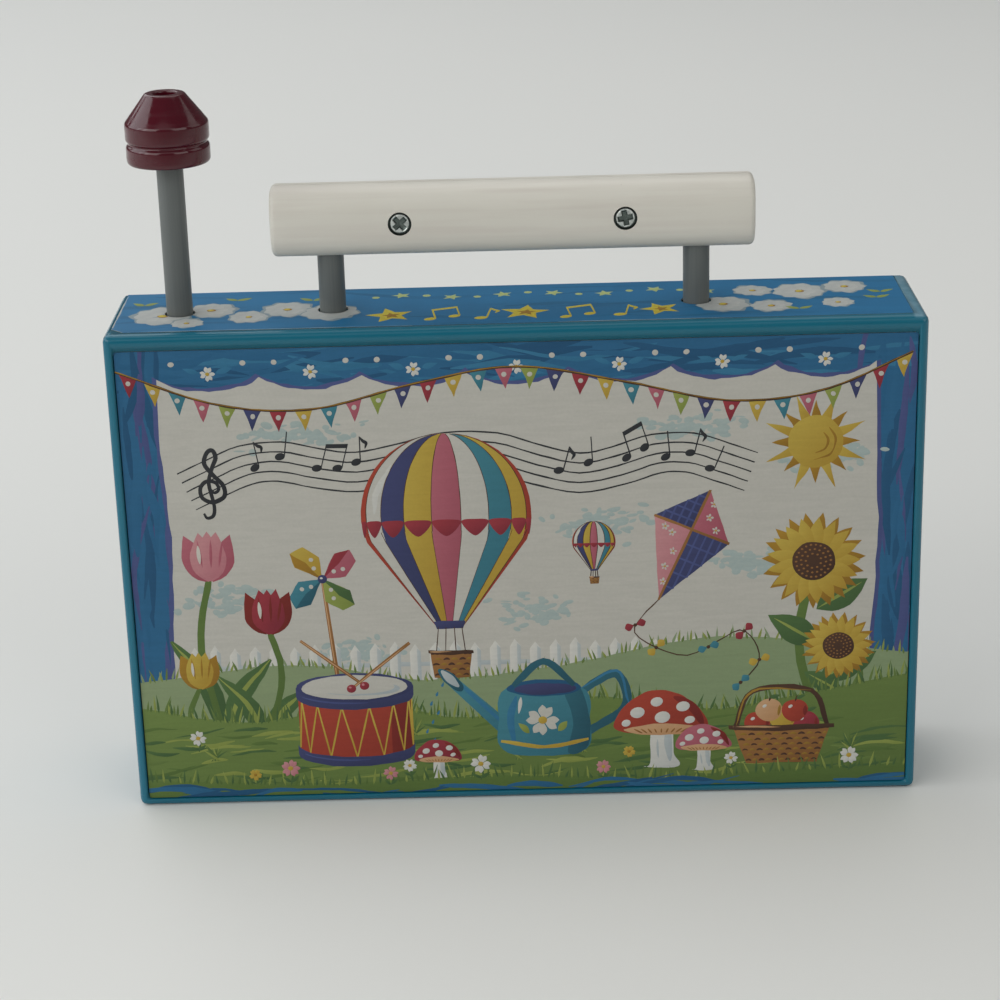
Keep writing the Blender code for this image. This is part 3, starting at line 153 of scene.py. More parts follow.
table_top = bpy.data.objects.new("table_top", floor_mesh)
bpy.context.scene.collection.objects.link(table_top)

# Soft studio light: a broad ceiling light with others behind and before it, a window on the left with a
# further one behind the toy, and weaker lights on the viewer's side and on the right. The room is dim.
toy_middle = (0.0, 0.0, 0.08)
room = bpy.data.worlds.new("dim pale room")
room.use_nodes = True
room.node_tree.nodes["Background"].inputs["Color"].default_value = linear("#eef1f2")
room.node_tree.nodes["Background"].inputs["Strength"].default_value = 0.14
bpy.context.scene.world = room
for name, place, aim, size, power, colour in (
        ("ceiling light", (0.0, 0.95, 2.4), (0.0, 0.95, 0.0), 2.4, 14.5, "#fffefb"),
        ("back ceiling light", (0.0, 1.7, 2.3), (0.0, 1.0, 0.0), 2.4, 5.0, "#fffefb"),
        ("near ceiling light", (0.0, -2.6, 2.6), (0.0, -2.6, 0.0), 2.4, 9.0, "#fffefb"),
        ("window light", (-2.2, 0.3, 1.4), toy_middle, 2.0, 23.9, "#f8fcff"),
        ("far window light", (-1.4, 2.2, 1.8), toy_middle, 2.0, 16.5, "#fbfdff"),
        ("side left light", (-2.41, -0.97, 1.2), toy_middle, 1.4, 10.5, "#fcfeff"),
        ("right light", (2.2, 0.3, 1.4), toy_middle, 1.6, 5.9, "#fffdf8"),
        ("front left light", (-1.6, -1.75, 1.2), toy_middle, 1.8, 20.5, "#fffefa"),
        ("front right light", (1.6, -1.75, 1.2), toy_middle, 1.8, 13.5, "#fffdf8")):
    lamp = bpy.data.objects.new(name, bpy.data.lights.new(name, "AREA"))
    lamp.location = place
    lamp.rotation_euler = (Vector(aim) - Vector(place)).to_track_quat("-Z", "Y").to_euler()
    lamp.data.size = size
    lamp.data.energy = power
    lamp.data.color = linear(colour)[:3]
    bpy.context.scene.collection.objects.link(lamp)


# Case shell: one injection moulding in teal ABS, with its walls, front, window rim, sound slots and bosses.
# Its mesh is the solid's own, welded, so that its rounded edges shade as curves.
def finish_piece(name, mesh, material, body, replaced=(), sharp=35.0, weld=1e-7):
    """A mesh as a shown piece: doubles merged, faces turned out, smooth but for its real edges."""
    shape = bmesh.new()
    shape.from_mesh(mesh)
    bmesh.ops.remove_doubles(shape, verts=shape.verts, dist=weld)
    bmesh.ops.dissolve_degenerate(shape, edges=shape.edges, dist=weld)
    bmesh.ops.recalc_face_normals(shape, faces=shape.faces)
    shape.to_mesh(mesh)
    shape.free()
    mesh.shade_smooth()
    mesh.set_sharp_from_angle(angle=math.radians(sharp))
    if material and not mesh.materials:
        mesh.materials.append(material)
    piece = bpy.data.objects.new(name, mesh)
    bpy.context.scene.collection.objects.link(piece)
    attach(piece, body)
    if replaced:
        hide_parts(*replaced)
    return piece


def weigh_normals(piece):
    """Shading that keeps broad faces flat beside their rounded edges."""
    step = piece.modifiers.new("even faces", "WEIGHTED_NORMAL")
    step.keep_sharp = True
    step.weight = 100
    return piece


def moulded_plastic(name, colour, shade, roughness, wave, scuffs):
    """Injection-moulded plastic: a slightly uneven colour, a gloss that varies, and fine scuffs.

    Wave is the size in metres of the faint unevenness that a moulded face shows, and scuffs is how much
    of the gloss they take away.
    """
    material, tree, shader, places = new_material(name)
    cloud = add_node(tree, "ShaderNodeTexNoise", {"Vector": places, "Scale": 1 / wave, "Detail": 4.0})
    tint = add_node(tree, "ShaderNodeMix", {0: cloud.outputs["Fac"], 6: linear(colour), 7: linear(shade)},
                    data_type="RGBA")
    tree.links.new(tint.outputs[2], shader.inputs["Base Color"])
    # The scuffs run level, about 17 mm long. They are drawn 1.1 mm wide, wider than real ones, to show.
    squeezed = add_node(tree, "ShaderNodeMapping", {"Vector": places, "Scale": (60.0, 60.0, 900.0)})
    hairline = add_node(tree, "ShaderNodeTexNoise", {"Vector": squeezed.outputs["Vector"], "Scale": 1.0,
                                                     "Detail": 5.0})
    dulled = add_node(tree, "ShaderNodeMapRange", {"Value": hairline.outputs["Fac"], "From Min": 0.45,
                                                   "From Max": 0.75, "To Min": roughness,
                                                   "To Max": roughness + scuffs})
    tree.links.new(dulled.outputs["Result"], shader.inputs["Roughness"])
    ripple = add_node(tree, "ShaderNodeTexNoise", {"Vector": places, "Scale": 0.35 / wave, "Detail": 2.0})
    bump = add_node(tree, "ShaderNodeBump", {"Height": ripple.outputs["Fac"], "Distance": 0.0004,
                                             "Strength": 0.25})
    tree.links.new(bump.outputs["Normal"], shader.inputs["Normal"])
    set_values(shader, IOR=1.54)
    return material


# Teal ABS from a polished mould: a deep, nearly even colour under a soft gloss, with wavering reflections.
teal_abs = moulded_plastic("glossy teal ABS", "#13687e", "#106077", 0.2, 0.02, 0.08)
tree = teal_abs.node_tree
shader = tree.nodes["Principled BSDF"]
places = tree.nodes["Texture Coordinate"].outputs["Object"]
set_values(shader, Specular_IOR_Level=0.38)
# The narrow margin of the top, past the label's right end, is made paler in patches about 8 mm long.
pale_from_x = (0.1158, 0.1166)
pale_from_z = (0.1517, 0.1524)
split = add_node(tree, "ShaderNodeSeparateXYZ", {"Vector": places})
at_the_end = add_node(tree, "ShaderNodeMapRange", {"Value": split.outputs["X"],
                                                   "From Min": pale_from_x[0],
                                                   "From Max": pale_from_x[1]})
on_top = add_node(tree, "ShaderNodeMapRange", {"Value": split.outputs["Z"],
                                               "From Min": pale_from_z[0],
                                               "From Max": pale_from_z[1]})
pale_patches = add_node(tree, "ShaderNodeTexNoise", {"Vector": places, "Scale": 130.0, "Detail": 3.0})
pale_share = add_node(tree, "ShaderNodeMapRange", {"Value": pale_patches.outputs["Fac"], "From Min": 0.3,
                                                  "From Max": 0.7, "To Min": 0.25, "To Max": 0.7})
strip = add_node(tree, "ShaderNodeMath", {0: at_the_end.outputs["Result"], 1: on_top.outputs["Result"]},
                 operation="MULTIPLY")
share = add_node(tree, "ShaderNodeMath", {0: strip.outputs["Value"], 1: pale_share.outputs["Result"]},
                 operation="MULTIPLY")
paled = add_node(tree, "ShaderNodeMix", {0: share.outputs["Value"],
                                        6: shader.inputs["Base Color"].links[0].from_socket,
                                        7: linear("#8aa9b8")}, data_type="RGBA")
tree.links.new(paled.outputs[2], shader.inputs["Base Color"])
case_mesh = nodes["case_shell"].data.copy()
case_mesh.materials.clear()
weigh_normals(finish_piece("case_moulding", case_mesh, teal_abs, "case", ["case_shell"]))


# Winding movement, scroll drive and rear cover: brass, steel, die-cast zinc and nylon pieces inside the
# case. Their solids already have their shape, and each gets the finish of what it is made of.
def worked_metal(name, colour, shade, roughness, grain):
    """Metal with fine marks from its making: grain is the width in metres of a turned or rolled mark."""
    material, tree, shader, places = new_material(name)
    marks = add_node(tree, "ShaderNodeTexNoise", {"Vector": places, "Scale": 1 / grain, "Detail": 6.0})
    tint = add_node(tree, "ShaderNodeMix", {0: marks.outputs["Fac"], 6: linear(colour), 7: linear(shade)},
                    data_type="RGBA")
    tree.links.new(tint.outputs[2], shader.inputs["Base Color"])
    gloss = add_node(tree, "ShaderNodeMapRange", {"Value": marks.outputs["Fac"], "To Min": roughness - 0.08,
                                                  "To Max": roughness + 0.12})
    tree.links.new(gloss.outputs["Result"], shader.inputs["Roughness"])
    bump = add_node(tree, "ShaderNodeBump", {"Height": marks.outputs["Fac"], "Distance": 0.00005,
                                             "Strength": 0.4})
    tree.links.new(bump.outputs["Normal"], shader.inputs["Normal"])
    set_values(shader, Metallic=1.0)
    return material


# The brass is warm and bright, the zinc plate is paler and duller, the tempered spring is dark and even, and
# the casting is matt with a coarse grain. The marks are drawn wider than real ones, to show.
turned_brass = worked_metal("turned brass", "#d9b56b", "#b98f45", 0.3, 0.0006)
zinc_plate = worked_metal("zinc-plated steel", "#dadedb", "#b3bab6", 0.42, 0.0005)
blued_spring = worked_metal("tempered spring steel", "#8a8f96", "#6a6f78", 0.3, 0.0004)
zinc_casting = worked_metal("die-cast zinc", "#b0b2b3", "#9a9c9e", 0.5, 0.0012)
# The grey ABS of the cover and the frame is matt, the nylon of the gears is milky, and the maroon styrene
# of the fan and the antenna's knob is dark with a hard gloss.
grey_abs = moulded_plastic("matt grey ABS", "#9a9c9b", "#929493", 0.5, 0.012, 0.1)
nylon = moulded_plastic("natural nylon", "#dcdcd4", "#d2d2c8", 0.45, 0.008, 0.1)
maroon_styrene = moulded_plastic("glossy maroon styrene", "#4f0b1b", "#430816", 0.11, 0.006, 0.22)
# Clear styrene: it lets the picture through, under a slightly uneven shine from small scratches.
clear_styrene, tree, shader, places = new_material("clear moulded styrene")
haze = add_node(tree, "ShaderNodeTexNoise", {"Vector": places, "Scale": 60.0, "Detail": 5.0})
gloss = add_node(tree, "ShaderNodeMapRange", {"Value": haze.outputs["Fac"], "From Min": 0.4, "To Min": 0.01,
                                              "To Max": 0.035})
tree.links.new(gloss.outputs["Result"], shader.inputs["Roughness"])
set_values(shader, Base_Color=linear("#f4f8f7"), Transmission_Weight=1.0, IOR=1.5, Alpha=0.25)
finishes = {"plated_steel": zinc_plate, "spring_steel": blued_spring, "brass": turned_brass,
            "cast_zinc": zinc_casting, "grey_plastic": grey_abs, "white_nylon": nylon,
            "maroon_plastic": maroon_styrene, "clear_plastic": clear_styrene, "teal_plastic": teal_abs}
for row in frame["record"]["subparts"]:
    if row["material_slot"] in finishes:
        node_mesh = nodes[row["node"]].data
        node_mesh.materials.clear()
        node_mesh.materials.append(finishes[row["material_slot"]])


# Printed back: a card printed in opaque inks and varnished, glued to the rear cover inside the case's rim.
# It shows a made-up garden of toys and music inside a blue scalloped frame, drawn in millimetres.

# Each ink has a lit and a shaded tone, and a shape runs from one to the other from its upper left to its
# lower right.
inks = {
    "cream": ("#c8c6be", "#bfbdb5"), "sponge": ("#adbab6", "#a4b4b3"), "paper": ("#d6d2c8", "#c9c6bd"),
    "white": ("#dcdad2", "#bfc2c0"), "mist": ("#bcc3c3", "#a3adb2"), "black": ("#3b3d40", "#2a2c30"),
    "frame": ("#336b93", "#2b628a"), "deep": ("#2b5c82", "#255378"), "lake": ("#3e7c9f", "#337095"),
    "violet": ("#535d8e", "#464f7e"), "teal": ("#4b8a99", "#346d7e"), "teal_shade": ("#356a7a", "#275160"),
    "navy": ("#484d78", "#353a5c"), "red": ("#b24a39", "#8b362c"), "red_shade": ("#86322c", "#6c2725"),
    "crimson": ("#a43f47", "#792b38"), "pink": ("#cc9497", "#b5707b"), "rose": ("#b96c79", "#9d505f"),
    "yellow": ("#c6ae50", "#aa8934"), "gold": ("#ad8632", "#8b6727"), "straw": ("#a58238", "#85642a"),
    "peach": ("#d0aa84", "#b98a5f"), "wood": ("#a27445", "#7e5630"), "brown": ("#594031", "#412e26"),
    "green": ("#748a4b", "#5b713c"), "leaf": ("#567445", "#3f5a38"), "dark_leaf": ("#405a3b", "#2f432a"),
    "lime": ("#99a457", "#7a8a43"), "hill": ("#8f9f79", "#7f936f"), "moss": ("#657d41", "#4f6736"),
    "label": ("#2b75a3", "#266d9a"), "label_shade": ("#216389", "#28709d"), "sky": ("#8fb3c6", "#a5c2cc"),
    "sky_shade": ("#7ea7bf", "#8fb3c6"), "sunny": ("#d8c84a", "#c4ae38"),
    "pale_lime": ("#b9c688", "#a6b577"), "shade": ("#8f9da2", "#83949c"),
    "bloom": ("#bcbfbc", "#aeb3b2"), "bloom_shade": ("#b0b4b3", "#c2c4c0")}


def smooth_path(points, per=6, closed=False):
    """A smooth curve through points, a Catmull-Rom spline.

    Between b and c, with a before and d after, it is half of 2 b + (c - a) t + (2 a - 5 b + 4 c - d) t ** 2
    + (3 b - a - 3 c + d) t ** 3, for t from 0 to 1 in so many steps.
    """
    points = np.array(points, float)
    if closed:
        around = np.vstack([points[-1:], points, points[:2]])
    else:
        around = np.vstack([2 * points[:1] - points[1:2], points, 2 * points[-1:] - points[-2:-1]])
    a, b, c, d = (around[k:len(around) - 3 + k, None] for k in range(4))
    t = (np.arange(per) / per)[None, :, None]
    curve = (2 * b + (c - a) * t + (2 * a - 5 * b + 4 * c - d) * t ** 2
             + (3 * b - a - 3 * c + d) * t ** 3) / 2
    curve = curve.reshape(-1, 2)
    return curve if closed else np.vstack([curve, points[-1:]])


def brush(points, width, taper=0.6, per=6):
    """A stroke along a smooth path. Its half width is width / 2 times sin(pi t) to the power taper."""
    path = smooth_path(points, per)
    run = np.gradient(path, axis=0)
    normal = np.stack([-run[:, 1], run[:, 0]], axis=1) / np.linalg.norm(run, axis=1, keepdims=True)
    share = np.sin(np.linspace(0.02, 0.98, len(path)) * math.pi)[:, None]
    half = width / 2 * share ** taper
    return np.vstack([path + normal * half, (path - normal * half)[::-1]])


def oval(x, y, across, up, turn=0.0, points=28, lobes=0, depth=0.0):
    """An ellipse with half axes across and up, grown and shrunk by depth in so many lobes."""
    t = np.linspace(0, 2 * math.pi, points, endpoint=False)
    reach = 1 + depth * np.cos(lobes * t)
    flat = np.stack([across * reach * np.cos(t), up * reach * np.sin(t)], axis=1)
    return turned_flat(flat, turn) + (x, y)


def turned_flat(points, degrees):
    """Points turned about the origin."""
    c, s = math.cos(math.radians(degrees)), math.sin(math.radians(degrees))
    return np.asarray(points, float) @ np.array([[c, s], [-s, c]])


def petal(x, y, length, width, turn, belly=0.75, points=9):
    """A leaf from its root at x, y: at the share t of its length it is wide by sin(pi t ** belly)."""
    t = np.linspace(0, 1, points)
    half = width / 2 * np.sin(math.pi * t ** belly)
    side = np.stack([length * t, half], axis=1)
    return turned_flat(np.vstack([side, side[-2:0:-1] * (1, -1)]), turn) + (x, y)


def dense(outline, step=3.0):
    """A closed outline with its long edges divided into steps at most this long."""
    outline = np.asarray(outline, float)
    made = []
    for start, end in zip(outline, np.roll(outline, -1, axis=0)):
        count = max(1, math.ceil(np.linalg.norm(end - start) / step))
        made.append(start + (end - start) * (np.arange(count) / count)[:, None])
    return np.vstack(made)


def by_hand(outline, stray, seed):
    """The outline as a hand draws it: points stray by three sine waves along it, 6 to 20 mm long."""
    length = np.linalg.norm(np.diff(outline, axis=0, append=outline[:1]), axis=1)
    along = np.cumsum(length) / max(length.sum(), 1e-9)
    phases = np.random.default_rng(seed).uniform(0, 2 * math.pi, (3, 2))
    moved = outline.copy()
    for wave, phase in zip((6, 11, 20), phases):
        turns = max(1, round(length.sum() / wave))
        moved += stray * np.sin(2 * math.pi * turns * along[:, None] + phase) / 1.7
    return moved


def paint(sheet, ink, *outlines, stray=0.12):
    """Each outline goes on the sheet in this ink, over what is there."""
    for outline in outlines:
        sheet.append((by_hand(np.asarray(outline, float), stray, len(sheet)), ink))


def top_inks(centres, sheet):
    """For each point the number of the last outline that holds it, or -1.

    An outline holds a point if it winds round it: of the edges that pass to its right, those going up
    and those going down differ in number. A fold only divides what lies under it, and holds nothing.
    """
    order = np.argsort(centres[:, 0])
    x, y = centres[order].T
    tops = np.full(len(centres), -1)
    for number, (outline, ink) in enumerate(sheet):
        if ink == "fold":
            continue
        low, high = outline.min(axis=0), outline.max(axis=0)
        first, last = np.searchsorted(x, (low[0], high[0]))
        near = first + np.flatnonzero((y[first:last] >= low[1]) & (y[first:last] <= high[1]))
        start, end = outline, np.roll(outline, -1, axis=0)
        up = (start[:, 1] <= y[near, None]) & (end[:, 1] > y[near, None])
        down = (start[:, 1] > y[near, None]) & (end[:, 1] <= y[near, None])
        rise = np.where(start[:, 1] == end[:, 1], 1, end[:, 1] - start[:, 1])
        meets = start[:, 0] + (y[near, None] - start[:, 1]) * (end[:, 0] - start[:, 0]) / rise
        right = meets > x[near, None]
        tops[near[(up & right).sum(1) != (down & right).sum(1)]] = number
    return tops[np.argsort(order)]


def printed_mesh(name, sheet):
    """The sheet as flat ink areas at height 0, with a rim and a back at height -1.

    The outlines are laid out as one plane map of triangles, and each triangle takes the ink of the last
    outline that holds its middle. Inks are kept per corner, and the card's own faces are left plain.
    """
    points = np.vstack([outline for outline, ink in sheet])
    edges, first = [], 0
    for outline, ink in sheet:
        ring = np.arange(first, first + len(outline))
        edges.append(np.stack([ring, np.roll(ring, -1)], axis=1))
        first += len(outline)
    found = delaunay_2d_cdt([Vector(point) for point in points.tolist()], np.vstack(edges).tolist(), [], 0,
                            1e-4)
    flat = np.array([(*point, 0.0) for point in found[0]])
    corners = np.array(found[2])
    centres = flat[corners].mean(axis=1)[:, :2]
    tops = top_inks(centres, sheet)
    printed = np.array([ink is not None for outline, ink in sheet])
    kept = (top_inks(centres, sheet[:1]) == 0) & printed[tops]
    corners, tops = corners[kept], tops[kept]
    tones = np.array([[linear(tone) for tone in inks.get(ink, inks["paper"])] for outline, ink in sheet])
    low = np.array([outline.min(axis=0) for outline, ink in sheet])
    high = np.array([outline.max(axis=0) for outline, ink in sheet])
    share = (flat[corners][..., :2] - low[tops][:, None]) / (high - low)[tops][:, None]
    tone = np.clip((share[..., 0] + 1 - share[..., 1]) / 2, 0, 1)[..., None]
    colours = tones[tops, 0][:, None] * (1 - tone) + tones[tops, 1][:, None] * tone
    mesh = bpy.data.meshes.new(name)
    mesh.from_pydata(flat.tolist(), [], corners.tolist())
    layer = mesh.color_attributes.new("ink", "FLOAT_COLOR", "CORNER")
    layer.data.foreach_set("color", colours.astype(np.float32).ravel())
    shape = bmesh.new()
    shape.from_mesh(mesh)
    bmesh.ops.delete(shape, geom=[point for point in shape.verts if not point.link_faces], context="VERTS")
    rim = [edge for edge in shape.edges if edge.is_boundary]
    grown = bmesh.ops.extrude_edge_only(shape, edges=rim)["geom"]
    bmesh.ops.translate(shape, verts=[item for item in grown if isinstance(item, bmesh.types.BMVert)],
                        vec=(0, 0, -1))
    bmesh.ops.triangle_fill(shape, edges=[item for item in grown if isinstance(item, bmesh.types.BMEdge)],
                            use_beauty=True)
    for number, face in enumerate(shape.faces):
        face.material_index = int(number >= len(corners))
    shape.to_mesh(mesh)
    shape.free()
    return mesh


def place_points(mesh, placed):
    """The mesh's points moved to where the array function placed puts them."""
    points = np.zeros(len(mesh.vertices) * 3, np.float32)
    mesh.vertices.foreach_get("co", points)
    mesh.vertices.foreach_set("co", placed(points.reshape(-1, 3).astype(float)).astype(np.float32).ravel())
    mesh.update()
    return mesh


def pen_at(sheet, x, y, size, turn=0.0, usual_stray=0.12):
    """A pen for outlines about the origin: they are grown to size, turned, moved to x, y and painted."""
    def draw(ink, outline, stray=usual_stray):
        placed = turned_flat(np.asarray(outline, float) * size, turn) + (x, y)
        paint(sheet, ink, placed, stray=stray)

    return draw


def patch(sheet, ink, x, y, across, up, count, seed, size=1.6):
    """Colour dabbed on with a sponge: small blots that crowd round the middle of an oval."""
    dice = np.random.default_rng(seed)
    for dab in range(count):
        px, py = dice.normal(0, 0.42, 2)
        blot = oval(x + px * across, y + py * up, size * dice.uniform(0.5, 1.3),
                    size * dice.uniform(0.25, 0.7), dice.uniform(-20, 20), 10)
        paint(sheet, ink, blot, stray=0.25)


def strokes(sheet, shades, low, high, slope, length, width, count, seed):
    """Loose brush strokes in these shades, strewn over a box from low to high and lying near one slope."""
    dice = np.random.default_rng(seed)
    for number in range(count):
        x, y = dice.uniform(low, high)
        run = length * dice.uniform(0.5, 1.4)
        bow = dice.uniform(-0.1, 0.1) * run
        path = turned_flat([(-run / 2, 0), (0, bow), (run / 2, 0)], slope + dice.uniform(-9, 9))
        paint(sheet, shades[number % len(shades)], brush(path + (x, y), width * dice.uniform(0.5, 1.3)))


def daisy(sheet, x, y, size, ink="white", petals=9, heart="yellow", stem=0.0):
    """A small open flower, with a short stem and two leaves where the stem has a length."""
    if stem:
        stalk = [(x, y), (x + size * 0.2, y - stem / 2), (x, y - stem)]
        paint(sheet, "leaf", brush(stalk, size * 0.16, 0.1))
        paint(sheet, "leaf", petal(x, y - stem * 0.9, size * 1.1, size * 0.35, 35),
              petal(x, y - stem * 0.9, size * 1.0, size * 0.35, 150))
    for number in range(petals):
        turn = 360 * number / petals + 11 * (number % 2)
        paint(sheet, ink, petal(x, y, size, size * 0.5, turn, 1.5), stray=0.05)
    paint(sheet, heart, oval(x, y, size * 0.27, size * 0.25, points=14), stray=0.03)


def note(sheet, x, y, size, ink="black", flags=1, turn=0.0):
    """A music note with a tilted head, a stem and so many flags."""
    draw = pen_at(sheet, x, y, size, turn, 0.04)
    draw(ink, oval(0, 0, 0.62, 0.44, 24, 20))
    draw(ink, brush([(0.52, 0.15), (0.6, 3.2)], 0.16, 0.0, 3))
    for flag in range(flags):
        top = 3.2 - 0.7 * flag
        draw(ink, brush([(0.58, top), (0.95, top - 0.55), (1.35, top - 0.9), (1.15, top - 1.6)], 0.42, 0.8))


def beamed(sheet, x, y, size, ink="black", turn=0.0):
    """Two music notes joined by a beam."""
    for step, rise in ((0, 0.0), (2.4, 0.5)):
        place = turned_flat([(step * size, rise * size)], turn)[0]
        note(sheet, x + place[0], y + place[1], size, ink, 0, turn)
    pen_at(sheet, x, y, size, turn, 0.04)(ink, [(0.52, 3.2), (3.08, 3.75), (3.08, 3.2), (0.52, 2.65)])


def toadstool(sheet, x, y, size, ink="red", turn=0.0):
    """A spotted cap on a stout stalk."""
    draw = pen_at(sheet, x, y, size, turn)
    draw("white", smooth_path([(-0.2, 0), (-0.3, -0.08), (0.3, -0.08), (0.22, 0.2), (0.16, 0.75),
                               (-0.16, 0.75)], closed=True))
    draw("mist", brush([(0.16, 0.02), (0.12, 0.35), (0.11, 0.7)], 0.14))
    draw("mist", brush([(-0.05, 0.1), (-0.08, 0.45)], 0.05))
    draw(ink, smooth_path([(-0.82, 0.68), (-0.7, 1.05), (-0.3, 1.36), (0.15, 1.38), (0.6, 1.12),
                           (0.82, 0.68), (0.4, 0.58), (-0.4, 0.58)], closed=True))
    draw("red_shade", brush([(0.74, 0.72), (0.55, 1.06), (0.22, 1.28)], 0.16))
    draw("peach", smooth_path([(-0.66, 0.66), (0, 0.76), (0.68, 0.66), (0.35, 0.55), (-0.35, 0.55)],
                              closed=True))
    for share in np.linspace(-0.8, 0.8, 9):
        draw("wood", brush([(share * 0.6, 0.66), (share * 0.42, 0.58)], 0.03, 0.3, 3), 0.02)
    for px, py, r in ((-0.42, 0.98, 0.13), (-0.08, 1.18, 0.11), (0.02, 0.88, 0.14), (0.38, 1.08, 0.12),
                      (0.5, 0.82, 0.09), (-0.62, 0.78, 0.08)):
        draw("white", oval(px, py, r, r * 0.8, 15, 14), 0.04)


def tulip(sheet, foot, bend, head, size, ink, shade):
    """A tulip from its foot by way of a bend to its head, with two long leaves."""
    (fx, fy), (hx, hy) = foot, head
    stem = [foot, bend, head]
    for side, reach in ((-1, 0.62), (1, 0.5)):
        tip = (fx + side * size * 1.15, fy + (hy - fy) * reach)
        leaf_path = [(fx, fy), (fx + side * size * 0.35, fy + (hy - fy) * reach * 0.55), tip]
        paint(sheet, "leaf", brush(leaf_path, size * 0.5, 0.8))
        paint(sheet, "lime", brush(leaf_path, size * 0.12, 1.2))
    paint(sheet, "moss", brush(stem, size * 0.17, 0.1))
    for dx, turn, tone in ((-0.26, 112, shade), (0.26, 68, shade), (-0.1, 98, ink), (0.14, 82, ink),
                           (0.0, 90, ink)):
        leaf = petal(hx + dx * size * 0.3, hy - size * 0.15, size * 1.25, size * 0.62, turn, 0.8, 11)
        paint(sheet, tone, leaf)
    for dx, tilt in ((-0.12, 97), (0.05, 88), (0.2, 80)):
        mark = turned_flat([(size * 0.2, 0), (size * 0.9, 0)], tilt) + (hx + dx * size, hy)
        paint(sheet, shade, brush(mark, size * 0.07, 1.0, 4), stray=0.05)
    paint(sheet, "paper", brush([(hx - size * 0.2, hy + size * 0.3), (hx - size * 0.22, hy + size * 0.75)],
                                size * 0.09), stray=0.05)


def sunflower(sheet, foot, bend, x, y, size):
    """A sunflower with two rings of petals and a seeded heart."""
    paint(sheet, "moss", brush([foot, bend, (x, y)], size * 0.2, 0.08))
    for share, side in ((0.3, -1), (0.52, 1), (0.72, -1)):
        lx = foot[0] + (x - foot[0]) * share
        ly = foot[1] + (y - foot[1]) * share
        turn = 90 + side * 58
        paint(sheet, "leaf", petal(lx, ly, size * 1.25, size * 0.62, turn, 0.85, 11))
        rib = turned_flat([(0, 0), (size * 1.1, 0)], turn) + (lx, ly)
        paint(sheet, "lime", brush(rib, size * 0.07, 0.8, 4), stray=0.06)
    for ink, count, reach, start in (("gold", 19, 1.08, 5), ("yellow", 17, 0.98, 0)):
        for number in range(count):
            turn = start + 360 * number / count
            paint(sheet, ink, petal(x, y, size * reach, size * 0.3, turn, 1.15), stray=0.1)
    paint(sheet, "brown", oval(x, y, size * 0.45, size * 0.43, points=30))
    for ring_share, count in ((0.36, 22), (0.26, 16), (0.16, 9)):
        for number in range(count):
            t = 2 * math.pi * (number + ring_share * 3) / count
            seed = oval(x + math.cos(t) * ring_share * size, y + math.sin(t) * ring_share * size,
                        size * 0.027, size * 0.022, points=7)
            paint(sheet, "wood", seed, stray=0.02)


def balloon(sheet, x, y, r):
    """A striped hot-air balloon.

    At the angle a from its top, down to 110 degrees, its half width is r sin a and its height r cos a.
    From there it narrows straight to the mouth. A gore's edge at longitude p lies at sin p of the width.
    """
    a = np.radians(np.linspace(0, 110, 15))
    half = np.concatenate([r * np.sin(a), [r * 0.17]])
    height = y + np.concatenate([r * np.cos(a), [-r * 1.42]])
    shades = ("red", "cream", "navy", "yellow", "rose", "cream", "teal", "yellow", "red")
    edges = np.sin(np.radians(np.linspace(-90, 90, len(shades) + 1)))
    for ink, left, right in zip(shades, edges, edges[1:]):
        near, far = (np.stack([x + half * edge, height], 1) for edge in (left, right))
        paint(sheet, ink, np.vstack([near, far[::-1]]), stray=0.05)
    for left in edges[1:-1]:
        paint(sheet, "brown", brush(np.stack([x + half * left, height], 1)[1:], 0.22, 0.1, 2), stray=0.03)
    band_y, sag = y - r * 0.1, r * 0.18
    for left, right in zip(edges, edges[1:]):
        near, far = x + r * left * 0.995, x + r * right * 0.995
        mid = (near + far) / 2
        paint(sheet, "crimson", smooth_path([(near, band_y), (mid, band_y + r * 0.03), (far, band_y),
                                             (mid, band_y - sag)], closed=True), stray=0.04)
    paint(sheet, "navy", dense([(x - r * 0.19, y - r * 1.36), (x + r * 0.19, y - r * 1.36),
                                (x + r * 0.16, y - r * 1.46), (x - r * 0.16, y - r * 1.46)]))
    paint(sheet, "white", brush([(x - r * 0.62, y + r * 0.62), (x - r * 0.8, y + r * 0.3),
                                 (x - r * 0.84, y + r * 0.02)], r * 0.07))
    for side in (-0.14, -0.05, 0.05, 0.14):
        rope = [(x + r * side, y - r * 1.44), (x + r * side * 1.25, y - r * 1.78)]
        paint(sheet, "brown", brush(rope, 0.3, 0.1, 3), stray=0.03)
    wicker(sheet, x, y - r * 2.1, r * 0.21, r * 0.25, r * 0.34)


def wicker(sheet, x, y, bottom, top, height, rows=5):
    """A woven basket: short bowed strokes in rows, each row shifted by half a stroke."""
    paint(sheet, "wood", dense([(x - top, y + height), (x + top, y + height), (x + bottom, y),
                                (x - bottom, y)]))
    per_row = max(4, round(top * 2 / (height / rows) / 1.6))
    for row in range(rows):
        level = y + height * (row + 0.5) / rows
        half = bottom + (top - bottom) * (row + 0.5) / rows
        reach = 2 * half / per_row
        for number in range(per_row):
            start = x - half + reach * (number + 0.1 + 0.4 * (row % 2))
            end = min(start + reach * 0.85, x + half)
            weave = [(start, level), ((start + end) / 2, level + height / rows * 0.22), (end, level)]
            osier = brush(weave, height / rows * 0.4, 0.5, 3)
            paint(sheet, "straw" if (number + row) % 2 else "brown", osier, stray=0.05)
    rim = [(x - top * 1.08, y + height), (x, y + height * 0.96), (x + top * 1.08, y + height)]
    paint(sheet, "brown", brush(rim, height * 0.16, 0.15))
    paint(sheet, "peach", brush([(x - top, y + height * 1.02), (x, y + height * 0.99)], height * 0.05, 0.5))


